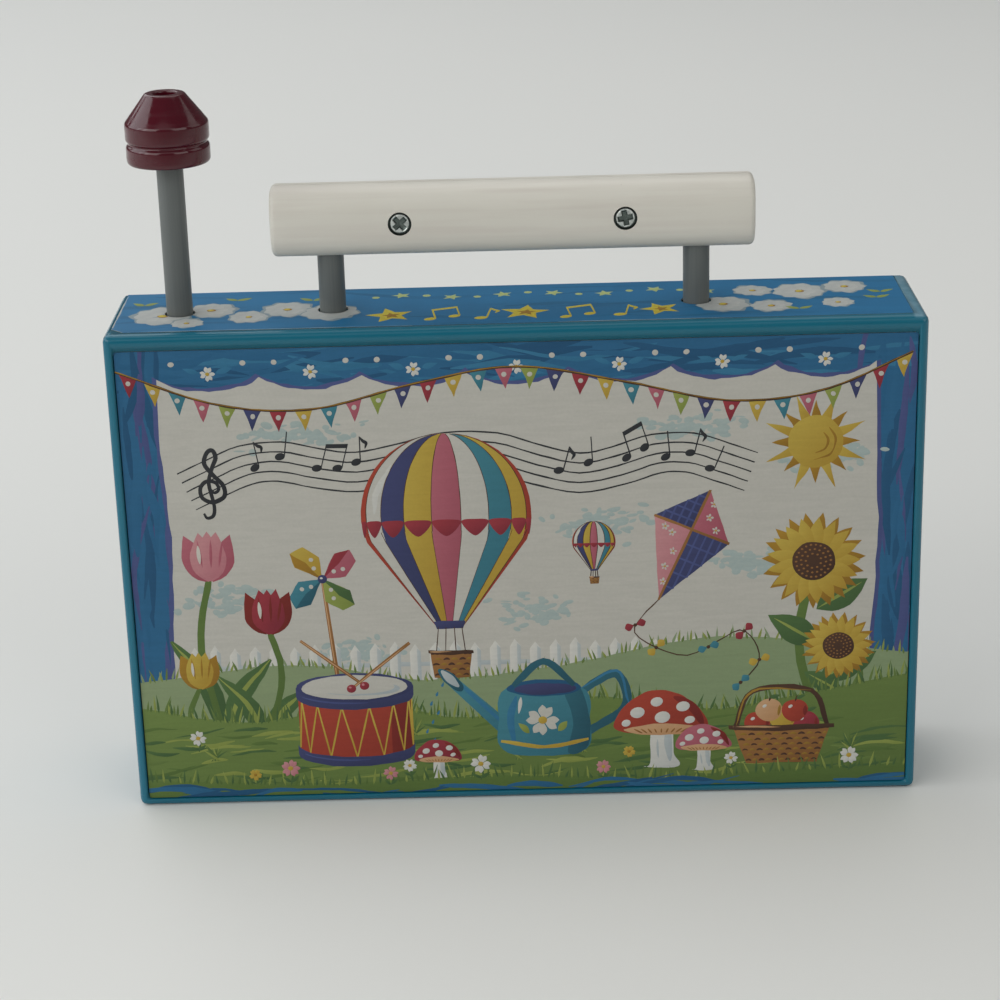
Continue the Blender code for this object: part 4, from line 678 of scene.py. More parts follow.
def drum(sheet, x, y, half, height):
    """A toy drum seen a little from above, its ends ellipses with a third of their width as height."""
    tilt = half * 0.26
    t = np.linspace(0, math.pi, 15)
    low_edge = np.stack([x - half * np.cos(t), y - tilt * np.sin(t)], 1)
    paint(sheet, "red", np.vstack([low_edge, [(x + half, y + height), (x - half, y + height)]]))
    paint(sheet, "red_shade", np.vstack([low_edge[10:], [(x + half, y + height),
                                                         (x + half * 0.62, y + height)]]))
    def lacing(step, low):
        """The lacing's point after so many steps of 14 degrees round the front, at its low or high end."""
        px = x + half * math.sin(math.radians(14 * step - 84))
        drop = tilt * math.cos(math.asin(min(1, abs(px - x) / half)))
        return (px, y - drop + height * 0.12) if low else (px, y + height * 0.9 - drop)

    for step in range(13):
        lace = brush([lacing(step, step % 2 == 0), lacing(step + 1, step % 2 == 1)], 0.55, 0.1, 3)
        paint(sheet, "yellow", lace, stray=0.05)
    wide = height * 0.15
    for level in (y + height * 0.06, y + height * 0.94):
        hoop = np.stack([x - half * 1.03 * np.cos(t), level - tilt * np.sin(t)], 1)
        paint(sheet, "navy", np.vstack([hoop + (0, wide / 2), (hoop - (0, wide / 2))[::-1]]))
        paint(sheet, "violet", brush(hoop[2:9] + (0, wide * 0.15), wide * 0.16, 0.5, 2), stray=0.04)
    paint(sheet, "navy", oval(x, y + height, half * 1.03, tilt * 1.05))
    paint(sheet, "cream", oval(x, y + height, half * 0.93, tilt * 0.9))
    paint(sheet, "mist", oval(x + half * 0.12, y + height - tilt * 0.14, half * 0.68, tilt * 0.5))
    paint(sheet, "cream", oval(x + half * 0.03, y + height - tilt * 0.02, half * 0.68, tilt * 0.5))
    for start, end in (((x - half * 0.9, y + height * 1.72), (x + half * 0.18, y + height * 1.02)),
                       ((x + half * 1.0, y + height * 1.66), (x - half * 0.05, y + height * 0.98))):
        paint(sheet, "wood", brush([start, end], 1.1, 0.08, 4))
        paint(sheet, "peach", brush([start, end], 0.35, 0.4, 4))
        paint(sheet, "crimson", oval(*end, 1.5, 1.3, points=18))
        paint(sheet, "pink", oval(end[0] - 0.4, end[1] + 0.4, 0.45, 0.35, points=9), stray=0.04)


def watering_can(sheet, x, y, size):
    """A round enamelled can with a bowed handle and a long spout."""
    draw = pen_at(sheet, x, y, size)
    draw("teal_shade", brush([(0.42, 0.75), (0.85, 0.98), (0.96, 0.55), (0.44, 0.2)], 0.11, 0.08))
    draw("lake", brush([(0.42, 0.79), (0.86, 1.02), (1.0, 0.6)], 0.035, 0.5))
    draw("teal", [(-0.42, 0.12), (-0.38, 0.36), (-1.02, 0.98), (-1.14, 0.9)])
    draw("lake", brush([(-0.42, 0.3), (-1.02, 0.93)], 0.05, 0.3, 4))
    draw("teal_shade", turned_flat(oval(0, 0, 0.2, 0.07), -46) + (-1.09, 0.95))
    draw("mist", turned_flat(oval(0, 0, 0.15, 0.045), -46) + (-1.1, 0.965))
    draw("teal", smooth_path([(-0.5, 0.02), (-0.54, 0.4), (-0.44, 0.82), (0.44, 0.82), (0.54, 0.4),
                              (0.5, 0.02), (0, -0.07)], closed=True))
    draw("teal_shade", smooth_path([(0.5, 0.03), (0.54, 0.4), (0.43, 0.8), (0.24, 0.78), (0.34, 0.4),
                                    (0.28, -0.03)], closed=True))
    draw("lake", brush([(-0.36, 0.1), (-0.4, 0.42), (-0.33, 0.72)], 0.09))
    draw("white", brush([(-0.3, 0.5), (-0.27, 0.7)], 0.04))
    draw("deep", oval(0, 0.82, 0.44, 0.11))
    draw("navy", oval(0.02, 0.805, 0.37, 0.075))
    draw("teal_shade", brush([(-0.36, 0.85), (0, 1.16), (0.36, 0.85)], 0.09, 0.12))
    draw("yellow", brush([(-0.52, 0.14), (0, 0.05), (0.52, 0.14)], 0.05, 0.1))
    daisy(sheet, x - size * 0.02, y + size * 0.4, size * 0.2, "cream", 8)
    for dx, dy in ((-0.18, 0.24), (0.16, 0.25)):
        leaf = petal(x + dx * size, y + dy * size, size * 0.18, size * 0.08, 90 - dx * 250)
        paint(sheet, "lime", leaf)
    for number in range(9):
        far = 1.2 + 0.05 * (number % 3) + 0.02 * number
        drop = 0.86 - 0.12 * number
        draw("lake", turned_flat(petal(0, 0, 0.07, 0.03, 0, 0.6, 5), 70) + (-far, drop), 0.03)


def kite(sheet, x, y, half, turn, tail):
    """A diamond kite in four quarters, two of them checked, with bows along its tail."""
    top, right, foot, left, hub = (0, 1.0), (0.72, 0.2), (0, -1.25), (-0.72, 0.2), (0, 0.2)
    draw = pen_at(sheet, x, y, half, turn, 0.08)
    for ink, first, second in (("rose", top, right), ("navy", top, left), ("navy", right, foot),
                               ("pink", left, foot)):
        draw(ink, dense([first, second, hub], 0.2))
    for k in (0.2, 0.4, 0.6, 0.8):
        for line in ([(-0.72 * k, 0.2), (-0.72 * k, 0.2 + 0.8 * (1 - k))],
                     [(0, 0.2 + 0.8 * k), (-0.72 * (1 - k), 0.2 + 0.8 * k)],
                     [(0.72 * k, 0.2), (0.72 * k, 0.2 - 1.45 * (1 - k))],
                     [(0, 0.2 - 1.45 * k), (0.72 * (1 - k), 0.2 - 1.45 * k)]):
            draw("violet", brush(line, 0.035, 0.05, 3), 0.03)
    for px, py in ((0.2, 0.52), (0.4, 0.34), (0.17, 0.78), (-0.3, 0.02), (-0.14, -0.3), (-0.16, -0.62),
                   (-0.46, 0.08), (-0.07, -0.9)):
        place = turned_flat([(px * half, py * half)], turn)[0]
        daisy(sheet, x + place[0], y + place[1], half * 0.075, "cream", 5, "yellow")
    draw("wood", brush([top, foot], 0.05, 0.05, 6))
    draw("wood", brush([left, right], 0.05, 0.05, 6))
    start = turned_flat([(0, -1.25 * half)], turn)[0] + (x, y)
    line = smooth_path([tuple(start), *tail], 8)
    paint(sheet, "brown", brush(line[::4], 0.4, 0.05, 3), stray=0.05)
    for number, share in enumerate(np.linspace(0.16, 0.97, 6)):
        px, py = line[int(share * (len(line) - 1))]
        ink = ("crimson", "yellow", "teal")[number % 3]
        for side in (20, 200):
            paint(sheet, ink, petal(px, py, 3.4, 2.6, side + 25 * (number % 2), 1.6), stray=0.06)
        paint(sheet, "brown", oval(px, py, 0.6, 0.6, points=9), stray=0.02)


def pinwheel(sheet, x, y, size, foot):
    """Four folded paper sails on a stick: each is a bent triangle, with its folded half in a darker ink."""
    paint(sheet, "wood", brush([foot, (x, y)], 1.3, 0.03, 6))
    paint(sheet, "peach", brush([(foot[0] - 0.25, foot[1]), (x - 0.25, y)], 0.35, 0.2, 6), stray=0.06)
    for quarter, (face, fold) in enumerate((("rose", "crimson"), ("yellow", "gold"), ("teal", "teal_shade"),
                                            ("lime", "leaf"))):
        sail = [(0, 0), (0.62, -0.1), (1.0, 0.25), (0.92, 0.62), (0.5, 0.6)]
        folded = [(0, 0), (0.5, 0.6), (0.92, 0.62), (0.55, 0.3)]
        for ink, corners in ((face, sail), (fold, folded)):
            paint(sheet, ink, turned_flat(dense(np.array(corners) * size, 2.0), 90 * quarter + 14) + (x, y))
        for share in (0.35, 0.6):
            spot = turned_flat([(share * size, 0.13 * size)], 90 * quarter + 14)[0] + (x, y)
            paint(sheet, "cream", oval(*spot, size * 0.06, size * 0.06, points=10), stray=0.03)
    paint(sheet, "navy", oval(x, y, size * 0.12, size * 0.12, points=16), stray=0.03)
    paint(sheet, "white", oval(x - 0.3, y + 0.3, size * 0.04, size * 0.03, points=8), stray=0.02)


def fruit_basket(sheet, x, y, half):
    """A wicker basket with a bowed handle, heaped with apples and pears."""
    draw = pen_at(sheet, x, y, half)
    for px, py, ink in ((-0.5, 0.92, "red"), (0.5, 0.9, "crimson"), (0.02, 1.02, "yellow"),
                        (-0.26, 1.2, "peach"), (0.27, 1.18, "red")):
        draw(ink, oval(px, py, 0.27, 0.25))
        draw("red_shade" if ink in ("red", "crimson") else "straw",
             brush([(px + 0.2, py - 0.12), (px + 0.22, py + 0.1)], 0.07))
        draw("white", oval(px - 0.09, py + 0.09, 0.05, 0.035, 30, 9), 0.03)
        draw("brown", brush([(px, py + 0.2), (px + 0.05, py + 0.33)], 0.04), 0.03)
        draw("leaf", petal(px + 0.03, py + 0.27, 0.2, 0.1, 20))
    draw("brown", brush([(-0.95, 0.8), (-0.6, 1.62), (0.6, 1.62), (0.95, 0.8)], 0.11, 0.05))
    draw("straw", brush([(-0.94, 0.85), (-0.6, 1.63), (0.6, 1.63)], 0.04, 0.4))
    wicker(sheet, x, y, half * 0.72, half, half * 0.82, 7)


def picket_fence(sheet, left, right, foot, height, pitch):
    """White pointed pickets on two rails, with a grey edge on each."""
    for level in (0.32, 0.7):
        low, high = foot + height * level, foot + height * (level + 0.08)
        paint(sheet, "mist", dense([(left, low), (right, low), (right, high), (left, high)], 8))
    for number, px in enumerate(np.arange(left, right, pitch)):
        lift = 0.6 * math.sin(number * 2.1)
        half = pitch * 0.27
        top = foot + height + lift
        picket = [(px - half, foot), (px - half, top), (px, top + half * 1.5), (px + half, top),
                  (px + half, foot)]
        paint(sheet, "white", dense(picket, 8))
        paint(sheet, "mist", dense([(px + half * 0.35, foot), (px + half * 0.35, top + half * 0.6),
                                    (px + half, top), (px + half, foot)], 8), stray=0.05)


def meadow(sheet, ink, tops, blade_inks, blade_height, seed, spacing=1.1):
    """A hill below a smooth line of tops, fringed with blades of grass."""
    ridge = smooth_path(tops, 8)
    low = -6.0
    paint(sheet, ink, np.vstack([ridge, [(ridge[-1, 0], low), (ridge[0, 0], low)]]), stray=0.2)
    dice = np.random.default_rng(seed)
    x = ridge[0, 0]
    number = 0
    while x < ridge[-1, 0]:
        y = np.interp(x, ridge[:, 0], ridge[:, 1]) - 0.8
        tall = blade_height * dice.uniform(0.45, 1.25)
        paint(sheet, blade_inks[number % len(blade_inks)],
              petal(x, y, tall, 0.75, 90 + dice.uniform(-24, 24), 0.55, 5), stray=0.05)
        x += spacing * dice.uniform(0.6, 1.4)
        number += 1


def tuft(sheet, x, y, size, seed, shades=("leaf", "moss", "lime")):
    """A tuft of grass whose blades fan out from one root."""
    dice = np.random.default_rng(seed)
    for number in range(9):
        turn = 90 + (number - 4) * 13 + dice.uniform(-5, 5)
        root = x + (number - 4) * size * 0.05
        blade = petal(root, y, size * dice.uniform(0.6, 1.1), size * 0.1, turn, 0.6, 6)
        paint(sheet, shades[number % len(shades)], blade, stray=0.05)


def bunting(sheet, tops, shades, flag=6.4):
    """Pennants along a sagging cord, each one a triangle with a spot in the middle."""
    cord = smooth_path(tops, 14)
    along = np.concatenate([[0], np.cumsum(np.linalg.norm(np.diff(cord, axis=0), axis=1))])
    for number, place in enumerate(np.arange(flag * 0.7, along[-1] - flag * 0.6, flag * 1.18)):
        ends = [(np.interp(place + side * flag * 0.42, along, cord[:, 0]),
                 np.interp(place + side * flag * 0.42, along, cord[:, 1])) for side in (-1, 1)]
        mid = (np.array(ends[0]) + ends[1]) / 2
        tip = mid + (0.5 * math.sin(number), -flag * 1.05)
        paint(sheet, shades[number % len(shades)], dense([ends[0], tuple(tip), ends[1]], 2.2))
        spot = oval(mid[0], mid[1] - flag * 0.34, flag * 0.12, flag * 0.12, points=12)
        paint(sheet, "cream", spot, stray=0.04)
    paint(sheet, "brown", brush(cord[::3], 0.75, 0.02, 3), stray=0.06)
    paint(sheet, "gold", brush(cord[::3] + (0, 0.16), 0.28, 0.1, 3), stray=0.06)


def garden_sheet(half_width, height):
    """The printed back: frame, cream sky, a line of music, and a garden full of toys."""
    corners = [(-half_width, 0), (half_width, 0), (half_width, height), (-half_width, height)]
    sheet = [(dense(corners, 8.0), "frame")]
    strokes(sheet, ("frame", "deep", "lake", "frame"), (-half_width, height - 14), (half_width, height),
            2, 34, 2.4, 90, 3)
    for side in (-1, 1):
        low, high = sorted((side * half_width, side * (half_width - 14)))
        strokes(sheet, ("deep", "frame", "violet", "frame"), (low, 0), (high, height),
                87, 30, 2.4, 46, 5 + side)
    t = np.linspace(0, 1, 99)
    across = 105.5
    scallop_x = across - 2 * across * t
    scallop_y = height - 8.6 - 4.2 * np.abs(np.sin(7 * math.pi * t)) ** 0.7
    right_edge = smooth_path([(106.5, 2), (105.2, 40), (107.0, 78), (105.8, 118)], 8)
    left_edge = smooth_path([(-106.0, 118), (-104.6, 82), (-106.4, 44), (-105.0, 2)], 8)
    ground = np.vstack([right_edge, np.stack([scallop_x, scallop_y], 1), left_edge])
    paint(sheet, "violet", ground * (1.012, 1.008), stray=0.25)
    paint(sheet, "cream", ground, stray=0.25)
    for number in range(7):
        mid = across - 2 * across * (number + 0.5) / 7
        daisy(sheet, mid, height - 7.4, 2.3, "white", 7)
        for side in (-1, 1):
            paint(sheet, "lake", petal(mid + side * 2.6, height - 7.0, 5.0, 1.7, 90 - side * 74))
            paint(sheet, "cream", oval(mid + side * 10.5, height - 4.2, 0.9, 0.85, points=12), stray=0.05)
    for number, (px, py, across_by, up_by) in enumerate(((-88, 66, 15, 6), (-50, 48, 14, 5), (4, 60, 13, 6),
                                                         (24, 88, 16, 6), (70, 74, 13, 5), (92, 108, 14, 5),
                                                         (-64, 118, 18, 4), (50, 118, 16, 4))):
        patch(sheet, "sponge", px, py, across_by, up_by, 70, 20 + number)

    sun_x, sun_y, sun_r = 88.0, 112.0, 8.2
    for number in range(16):
        reach = sun_r * (1.95 if number % 2 else 1.6)
        turn = 360 * number / 16
        ray = turned_flat([(sun_r * 0.9, -sun_r * 0.2), (reach, 0), (sun_r * 0.9, sun_r * 0.2)], turn)
        paint(sheet, "yellow" if number % 2 else "gold", dense(ray + (sun_x, sun_y), 2.0))
    paint(sheet, "yellow", oval(sun_x, sun_y, sun_r, sun_r, points=40))
    for share in (0.72, 0.45):
        arc = [(sun_x + sun_r * share * math.cos(a), sun_y + sun_r * share * math.sin(a))
               for a in np.radians((-95, -40, 10, 50))]
        paint(sheet, "gold", brush(arc, 0.8))

    tune = smooth_path([(-99, 101), (-76, 110), (-48, 106), (-14, 112), (18, 104), (46, 110),
                        (69, 103)], 10)
    run = np.gradient(tune, axis=0)
    normal = np.stack([-run[:, 1], run[:, 0]], 1) / np.linalg.norm(run, axis=1, keepdims=True)
    for line in range(5):
        paint(sheet, "black", brush((tune + normal * (line - 2) * 3.1)[::4], 0.5, 0.12, 4), stray=0.06)
    clef = np.array([(0.02, 0.02), (0.14, -0.1), (0.28, 0.02), (0.18, 0.24), (-0.1, 0.28), (-0.3, 0.06),
                     (-0.24, -0.28), (0.1, -0.42), (0.44, -0.22), (0.42, 0.14), (0.12, 0.5), (-0.12, 0.86),
                     (-0.02, 1.22), (0.16, 1.3), (0.24, 1.05), (0.1, 0.7), (-0.02, 0.2), (0.1, -0.5),
                     (0.06, -0.86), (-0.14, -0.94), (-0.24, -0.78)])
    paint(sheet, "black", brush(clef * 9.5 + (-92, 101.5), 1.35, 0.25, 5), stray=0.04)
    scored = ((0.16, -1, 1), (0.215, 1, 0), (0.27, 0, 2), (0.345, 2, 1), (0.40, -2, 0), (0.64, 0, 1),
              (0.695, 2, 0), (0.75, 1, 2), (0.82, -1, 0), (0.875, 0, 1), (0.93, -2, 0))
    for share, line, form in scored:
        at = int(share * (len(tune) - 1))
        place = tune[at] + normal[at] * line * 1.55
        lean = math.degrees(math.atan2(run[at, 1], run[at, 0]))
        if form == 2:
            beamed(sheet, *place, 2.5, turn=lean)
        else:
            note(sheet, *place, 2.5, flags=form, turn=lean)

    picket_fence(sheet, -100, 62, 30, 18, 6.1)
    meadow(sheet, "hill", [(-120, 39), (-70, 44), (-30, 38), (12, 42), (60, 50), (120, 43)],
           ("hill", "lime", "green"), 4.0, 41, 1.5)
    balloon(sheet, -22, 92, 25.5)
    balloon(sheet, 22, 82, 6.5)
    pinwheel(sheet, -60, 72, 11.5, (-56, 30))
    kite(sheet, 50, 82, 17, -24, [(34, 52), (50, 44), (66, 52), (72, 42), (64, 32)])
    sunflower(sheet, (92, 18), (84, 46), 88, 74, 14.5)
    sunflower(sheet, (98, 14), (103, 36), 96, 46, 10.5)
    tulip(sheet, (-92, 18), (-98, 50), (-94, 74), 13, "pink", "rose")
    tulip(sheet, (-80, 16), (-74, 40), (-77, 56), 12, "crimson", "red_shade")
    tulip(sheet, (-99, 12), (-103, 26), (-99, 38), 10, "yellow", "gold")
    meadow(sheet, "green", [(-120, 31), (-84, 25), (-50, 30), (-16, 25), (20, 31), (56, 26), (84, 30),
                            (120, 37)], ("green", "moss", "lime", "leaf"), 5.5, 43)
    strokes(sheet, ("moss", "lime", "green", "leaf"), (-116, 3), (116, 23), 3, 15, 1.1, 160, 47)
    tufts = ((-66, 22, 7), (-34, 19, 6), (30, 22, 8), (58, 12, 6), (-2, 10, 6), (-96, 12, 8), (100, 10, 8),
             (18, 12, 6))
    for number, (px, py, size) in enumerate(tufts):
        tuft(sheet, px, py, size, 60 + number)
    drum(sheet, -52, 14, 17.5, 22)
    watering_can(sheet, 6, 13, 26)
    toadstool(sheet, 42, 8, 17.5)
    toadstool(sheet, 55, 6, 10.5, "rose")
    toadstool(sheet, -27, 5, 9.0, "crimson")
    fruit_basket(sheet, 79, 7, 15)
    meadow(sheet, "moss", [(-120, 6), (-60, 3.4), (-10, 5), (40, 3), (80, 4.6), (120, 6)],
           ("moss", "lime", "leaf"), 5.0, 45, 1.6)
    daisies = ((-101, 20, 2.6, "white"), (-73, 9, 3.0, "pink"), (-36, 9, 2.2, "white"),
               (-14, 9, 3.2, "white"), (24, 7, 2.4, "pink"), (32, 12, 2.0, "yellow"),
               (63.5, 9, 2.2, "white"), (100, 9, 3.0, "white"), (-84, 7, 2.0, "yellow"),
               (-42, 6.5, 2.4, "pink"))
    for number, (px, py, size, ink) in enumerate(daisies):
        heart = "gold" if ink == "yellow" else "yellow"
        daisy(sheet, px, py, size, ink, 8 + number % 3, heart, size * 1.7)
    bunting(sheet, [(-118, 139), (-88, 128), (-60, 126), (-30, 133), (0, 137.5), (32, 132), (62, 125.5),
                    (90, 128), (118, 140)], ("crimson", "yellow", "teal", "rose", "lime", "navy"))
    strokes(sheet, ("deep", "frame"), (-half_width, -0.5), (half_width, 1.2), 1, 30, 1.6, 30, 71)
    return sheet


def printed_paper(name, fibre, streak, roughness, tone):
    """Paper printed in solid inks and varnished: brush streaks in the inks, and a faint grain of fibres.

    Fibre is the size in metres of the grain, streak the length of a brush mark, and tone how much of their
    brightness the inks keep.
    """
    material, tree, shader, places = new_material(name)
    ink = add_node(tree, "ShaderNodeAttribute", {}, attribute_name="ink").outputs["Color"]
    grain = add_node(tree, "ShaderNodeTexNoise", {"Vector": places, "Scale": 1 / fibre, "Detail": 4.0})
    drawn = add_node(tree, "ShaderNodeMapping", {"Vector": places,
                                                 "Scale": (1 / streak, 1 / streak, 9 / streak)})
    brushed = add_node(tree, "ShaderNodeTexNoise", {"Vector": drawn.outputs["Vector"], "Scale": 1.0,
                                                    "Detail": 5.0, "Distortion": 0.8})
    dark = add_node(tree, "ShaderNodeMapRange", {"Value": brushed.outputs["Fac"], "From Min": 0.3,
                                                 "From Max": 0.7, "To Min": tone - 0.03,
                                                 "To Max": tone + 0.035})
    shade = add_node(tree, "ShaderNodeMapRange", {"Value": grain.outputs["Fac"], "From Min": 0.3,
                                                  "From Max": 0.7, "To Min": 0.975, "To Max": 1.025})
    both = add_node(tree, "ShaderNodeMath", {0: dark.outputs["Result"], 1: shade.outputs["Result"]},
                    operation="MULTIPLY")
    inked = add_node(tree, "ShaderNodeVectorMath", {0: ink, "Scale": both.outputs["Value"]},
                     operation="SCALE")
    tree.links.new(inked.outputs["Vector"], shader.inputs["Base Color"])
    gloss = add_node(tree, "ShaderNodeMapRange", {"Value": brushed.outputs["Fac"],
                                                  "To Min": roughness - 0.06, "To Max": roughness + 0.08})
    tree.links.new(gloss.outputs["Result"], shader.inputs["Roughness"])
    bump = add_node(tree, "ShaderNodeBump", {"Height": grain.outputs["Fac"], "Distance": 0.00003,
                                             "Strength": 0.3})
    tree.links.new(bump.outputs["Normal"], shader.inputs["Normal"])
    set_values(shader, IOR=1.48, Specular_IOR_Level=0.2)
    return material


# Litho print under a dull varnish: solid inks with brush marks 12 mm long in them, kept darker as painted
# shade, for the back stands upright in shade. The paper's grain is drawn at 0.8 mm, coarser than real
# fibres, to show.
shade_darkened_print = printed_paper("varnished litho print", 0.0008, 0.012, 0.42, 0.82)
# Plain grey card shows at the sheets' cut edges and on their backs: matt, with fibres drawn about 1 mm
# apart, coarser than real ones, to show.
plain_card, tree, shader, places = new_material("plain grey card")
fibres = add_node(tree, "ShaderNodeTexNoise", {"Vector": places, "Scale": 900.0, "Detail": 3.0})
tint = add_node(tree, "ShaderNodeMix", {0: fibres.outputs["Fac"], 6: linear("#b5b1a6"),
                                        7: linear("#c4c0b6")}, data_type="RGBA")
tree.links.new(tint.outputs[2], shader.inputs["Base Color"])
set_values(shader, Roughness=0.8)
drawn_per_metre = 1000
print_low, print_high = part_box("rear_print_panel")
print_half = (print_high.x - print_low.x) / 2 * drawn_per_metre
print_height = (print_high.z - print_low.z) * drawn_per_metre


def on_the_back(points):
    """Drawing (x, y, depth) to (x, front face, z), with the depth counted in sheet thicknesses."""
    across, up = points[:, :2].T / drawn_per_metre
    thickness = print_high.y - print_low.y
    return np.stack([across, print_low.y - points[:, 2] * thickness, print_low.z + up], 1)


rear_print = place_points(printed_mesh("rear_print", garden_sheet(print_half, print_height)), on_the_back)
rear_print.materials.append(shade_darkened_print)
rear_print.materials.append(plain_card)
finish_piece("rear_print", rear_print, None, "case", ["rear_print_panel"])

# Top label: blue printed paper glued into its shallow recess, with a cut corner and a hole for each rod. It
# has pale blossoms round the rods, and yellow notes and stars between them.
def star(x, y, size, turn=0.0, points=5, inner=0.45):
    """A star whose points reach out by size and its notches by a share of it."""
    t = np.arange(2 * points)
    reach = np.where(t % 2, inner, 1.0) * size
    angle = math.pi / 2 + math.pi * t / points
    return turned_flat(np.stack([reach * np.cos(angle), reach * np.sin(angle)], 1), turn) + (x, y)


def blossom(sheet, x, y, size, seed):
    """A full pale flower with two rings of round petals and a small yellow heart."""
    dice = np.random.default_rng(seed)
    start = dice.uniform(0, 40)
    draw = pen_at(sheet, x, y, size)
    for ink, count, reach, wide in (("shade", 9, 1.0, 0.68), ("bloom", 9, 0.92, 0.6),
                                    ("bloom_shade", 7, 0.6, 0.4)):
        for number in range(count):
            turn = start + 360 * number / count + dice.uniform(-5, 5)
            draw(ink, petal(0, 0, reach * dice.uniform(0.9, 1.05), wide, turn, 1.9, 11))
    draw("gold", oval(0, 0, 0.16, 0.15, points=16), 0.06)
    draw("sunny", oval(-0.02, 0.02, 0.11, 0.1, points=14), 0.04)


def label_sheet(low, high, cut, rods, hole):
    """The top label: blue, with pale blossoms round the rods, and yellow notes and stars between them."""
    left, right, back, front = low[0], high[0], low[1], high[1]
    outline = [(left + cut, back), (right, back), (right, front), (left, front), (left, back + cut)]
    sheet = [(dense(outline, 6.0), "label")]
    strokes(sheet, ("label", "label_shade"), (left, back), (right, front), 1, 44, 2.6, 60, 81)
    for x, y, size, seed in ((-105, -3, 10.5, 1), (-91, 2, 8.5, 2), (-79, -6, 7.0, 3), (-68, 1, 8.5, 4),
                             (-55, -3, 9.5, 5), (-97, -11, 5.5, 6), (62, -5, 9.0, 7), (76, -8, 7.0, 8),
                             (86, 7, 9.0, 9), (100, 11, 7.5, 10), (72, 9, 6.5, 11), (96, -6, 5.5, 12)):
        blossom(sheet, x, y, size, seed)
    for x, y in ((-112, 9), (-84, 12), (-61, 10), (108, -2), (84, -12), (110, 4)):
        for turn in (35, 145):
            paint(sheet, "lime", petal(x, y, 5.0, 2.2, turn))
    for x, y, size, turn in ((-37, -8, 7.4, 12), (3, -8, 7.6, -8), (43, -8, 6.4, 20)):
        paint(sheet, "sunny", dense(star(x, y, size, turn), 2.0))
        paint(sheet, "gold", dense(star(x + 0.4, y - 0.3, size * 0.4, turn), 2.0), stray=0.06)
    for x, y, size, form in ((-25, -13, 3.1, 2), (-10, -13, 3.2, 1), (15, -14, 3.1, 2), (31, -13, 3.2, 1)):
        if form == 2:
            beamed(sheet, x, y, size, "sunny", 8)
        else:
            note(sheet, x, y, size, "sunny", 1, -6)
    for number, x in enumerate(np.linspace(-42, 58, 14)):
        y = 11.5 + 1.8 * math.sin(number * 1.3)
        if number % 2:
            paint(sheet, "pale_lime", dense(star(x, y, 3.1, number * 17), 1.5), stray=0.06)
        else:
            paint(sheet, "pale_lime", oval(x, y, 1.2, 1.2, points=12), stray=0.04)
    paint(sheet, "mist", brush([(left + 0.25, back + cut + 1), (left + 0.2, 0), (left + 0.3, front - 2)],
                               0.5, 0.3))
    paint(sheet, "mist", brush([(left + cut - 1, back + 0.5), (left + 1.8, back + cut - 1.6)], 0.4, 0.4),
          brush([(left + cut + 1, back + 0.2), (-30, back + 0.15)], 0.3, 0.4),
          brush([(12, back + 0.2), (64, back + 0.2)], 0.3, 0.5))
    for x in rods:
        sheet.append((oval(x, 0, hole, hole, points=64), None))
    return sheet


label_low, label_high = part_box("top_label")
label_cut = 4.0
rod_places = [(low.x + high.x) / 2 * drawn_per_metre
              for low, high in map(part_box, ("antenna_rod", "handle_post_left", "handle_post_right"))]
rod_clearance = 4.55


def on_the_top(points):
    """Drawing (x, y, depth) to (x, y, top face), with the depth counted in label thicknesses."""
    across, along = points[:, :2].T / drawn_per_metre
    thickness = label_high.z - label_low.z
    return np.stack([across, along, label_high.z + points[:, 2] * thickness], 1)


label_drawing = label_sheet(np.array(label_low) * drawn_per_metre, np.array(label_high) * drawn_per_metre,
                            label_cut, rod_places, rod_clearance)
label_print = place_points(printed_mesh("label_print", label_drawing), on_the_top)
# The label is the same litho print under the same varnish, without the back's painted shade, and so is the
# belt.
bright_print = printed_paper("varnished litho print, no painted shade", 0.0008, 0.012, 0.42, 0.92)
label_print.materials.append(bright_print)
label_print.materials.append(plain_card)
finish_piece("label_print", label_print, None, "case", ["top_label"])


# Picture belt: a printed paper loop round the two rollers behind the window, glued together at the back. It
# shows a bay with boats, hills and trees.
def round_tree(sheet, x, y, size, ink, shade):
    """A round-headed tree: a trunk with two boughs and a crown of overlapping leafy balls."""
    draw = pen_at(sheet, x, y, size)
    draw("brown", brush([(0, 0), (0.02, 0.5), (0, 1)], 0.16, 0.1))
    for side in (-1, 1):
        draw("brown", brush([(0, 0.5), (side * 0.3, 0.85)], 0.08))
    balls = ((0, 1.15, 0.5), (-0.42, 0.95, 0.36), (0.42, 0.95, 0.36), (-0.22, 1.45, 0.36),
             (0.26, 1.42, 0.34))
    for tone, drop in ((shade, 0.04), (ink, 0.0)):
        for dx, dy, r in balls:
            draw(tone, oval(dx + drop, dy - drop, r, r * 0.95, 0, 30, 9, 0.05))
    dice = np.random.default_rng(int(abs(x) * 10))
    for number in range(26):
        px, py = dice.uniform(-0.55, 0.55), dice.uniform(0.75, 1.65)
        leaf = petal(px, py, 0.14, 0.06, dice.uniform(0, 360))
        draw(("lime", shade, "lime")[number % 3], leaf, 0.04)
    for number in range(7):
        px, py = dice.uniform(-0.5, 0.5), dice.uniform(0.8, 1.5)
        draw("red", oval(px, py, 0.06, 0.06, points=12), 0.04)


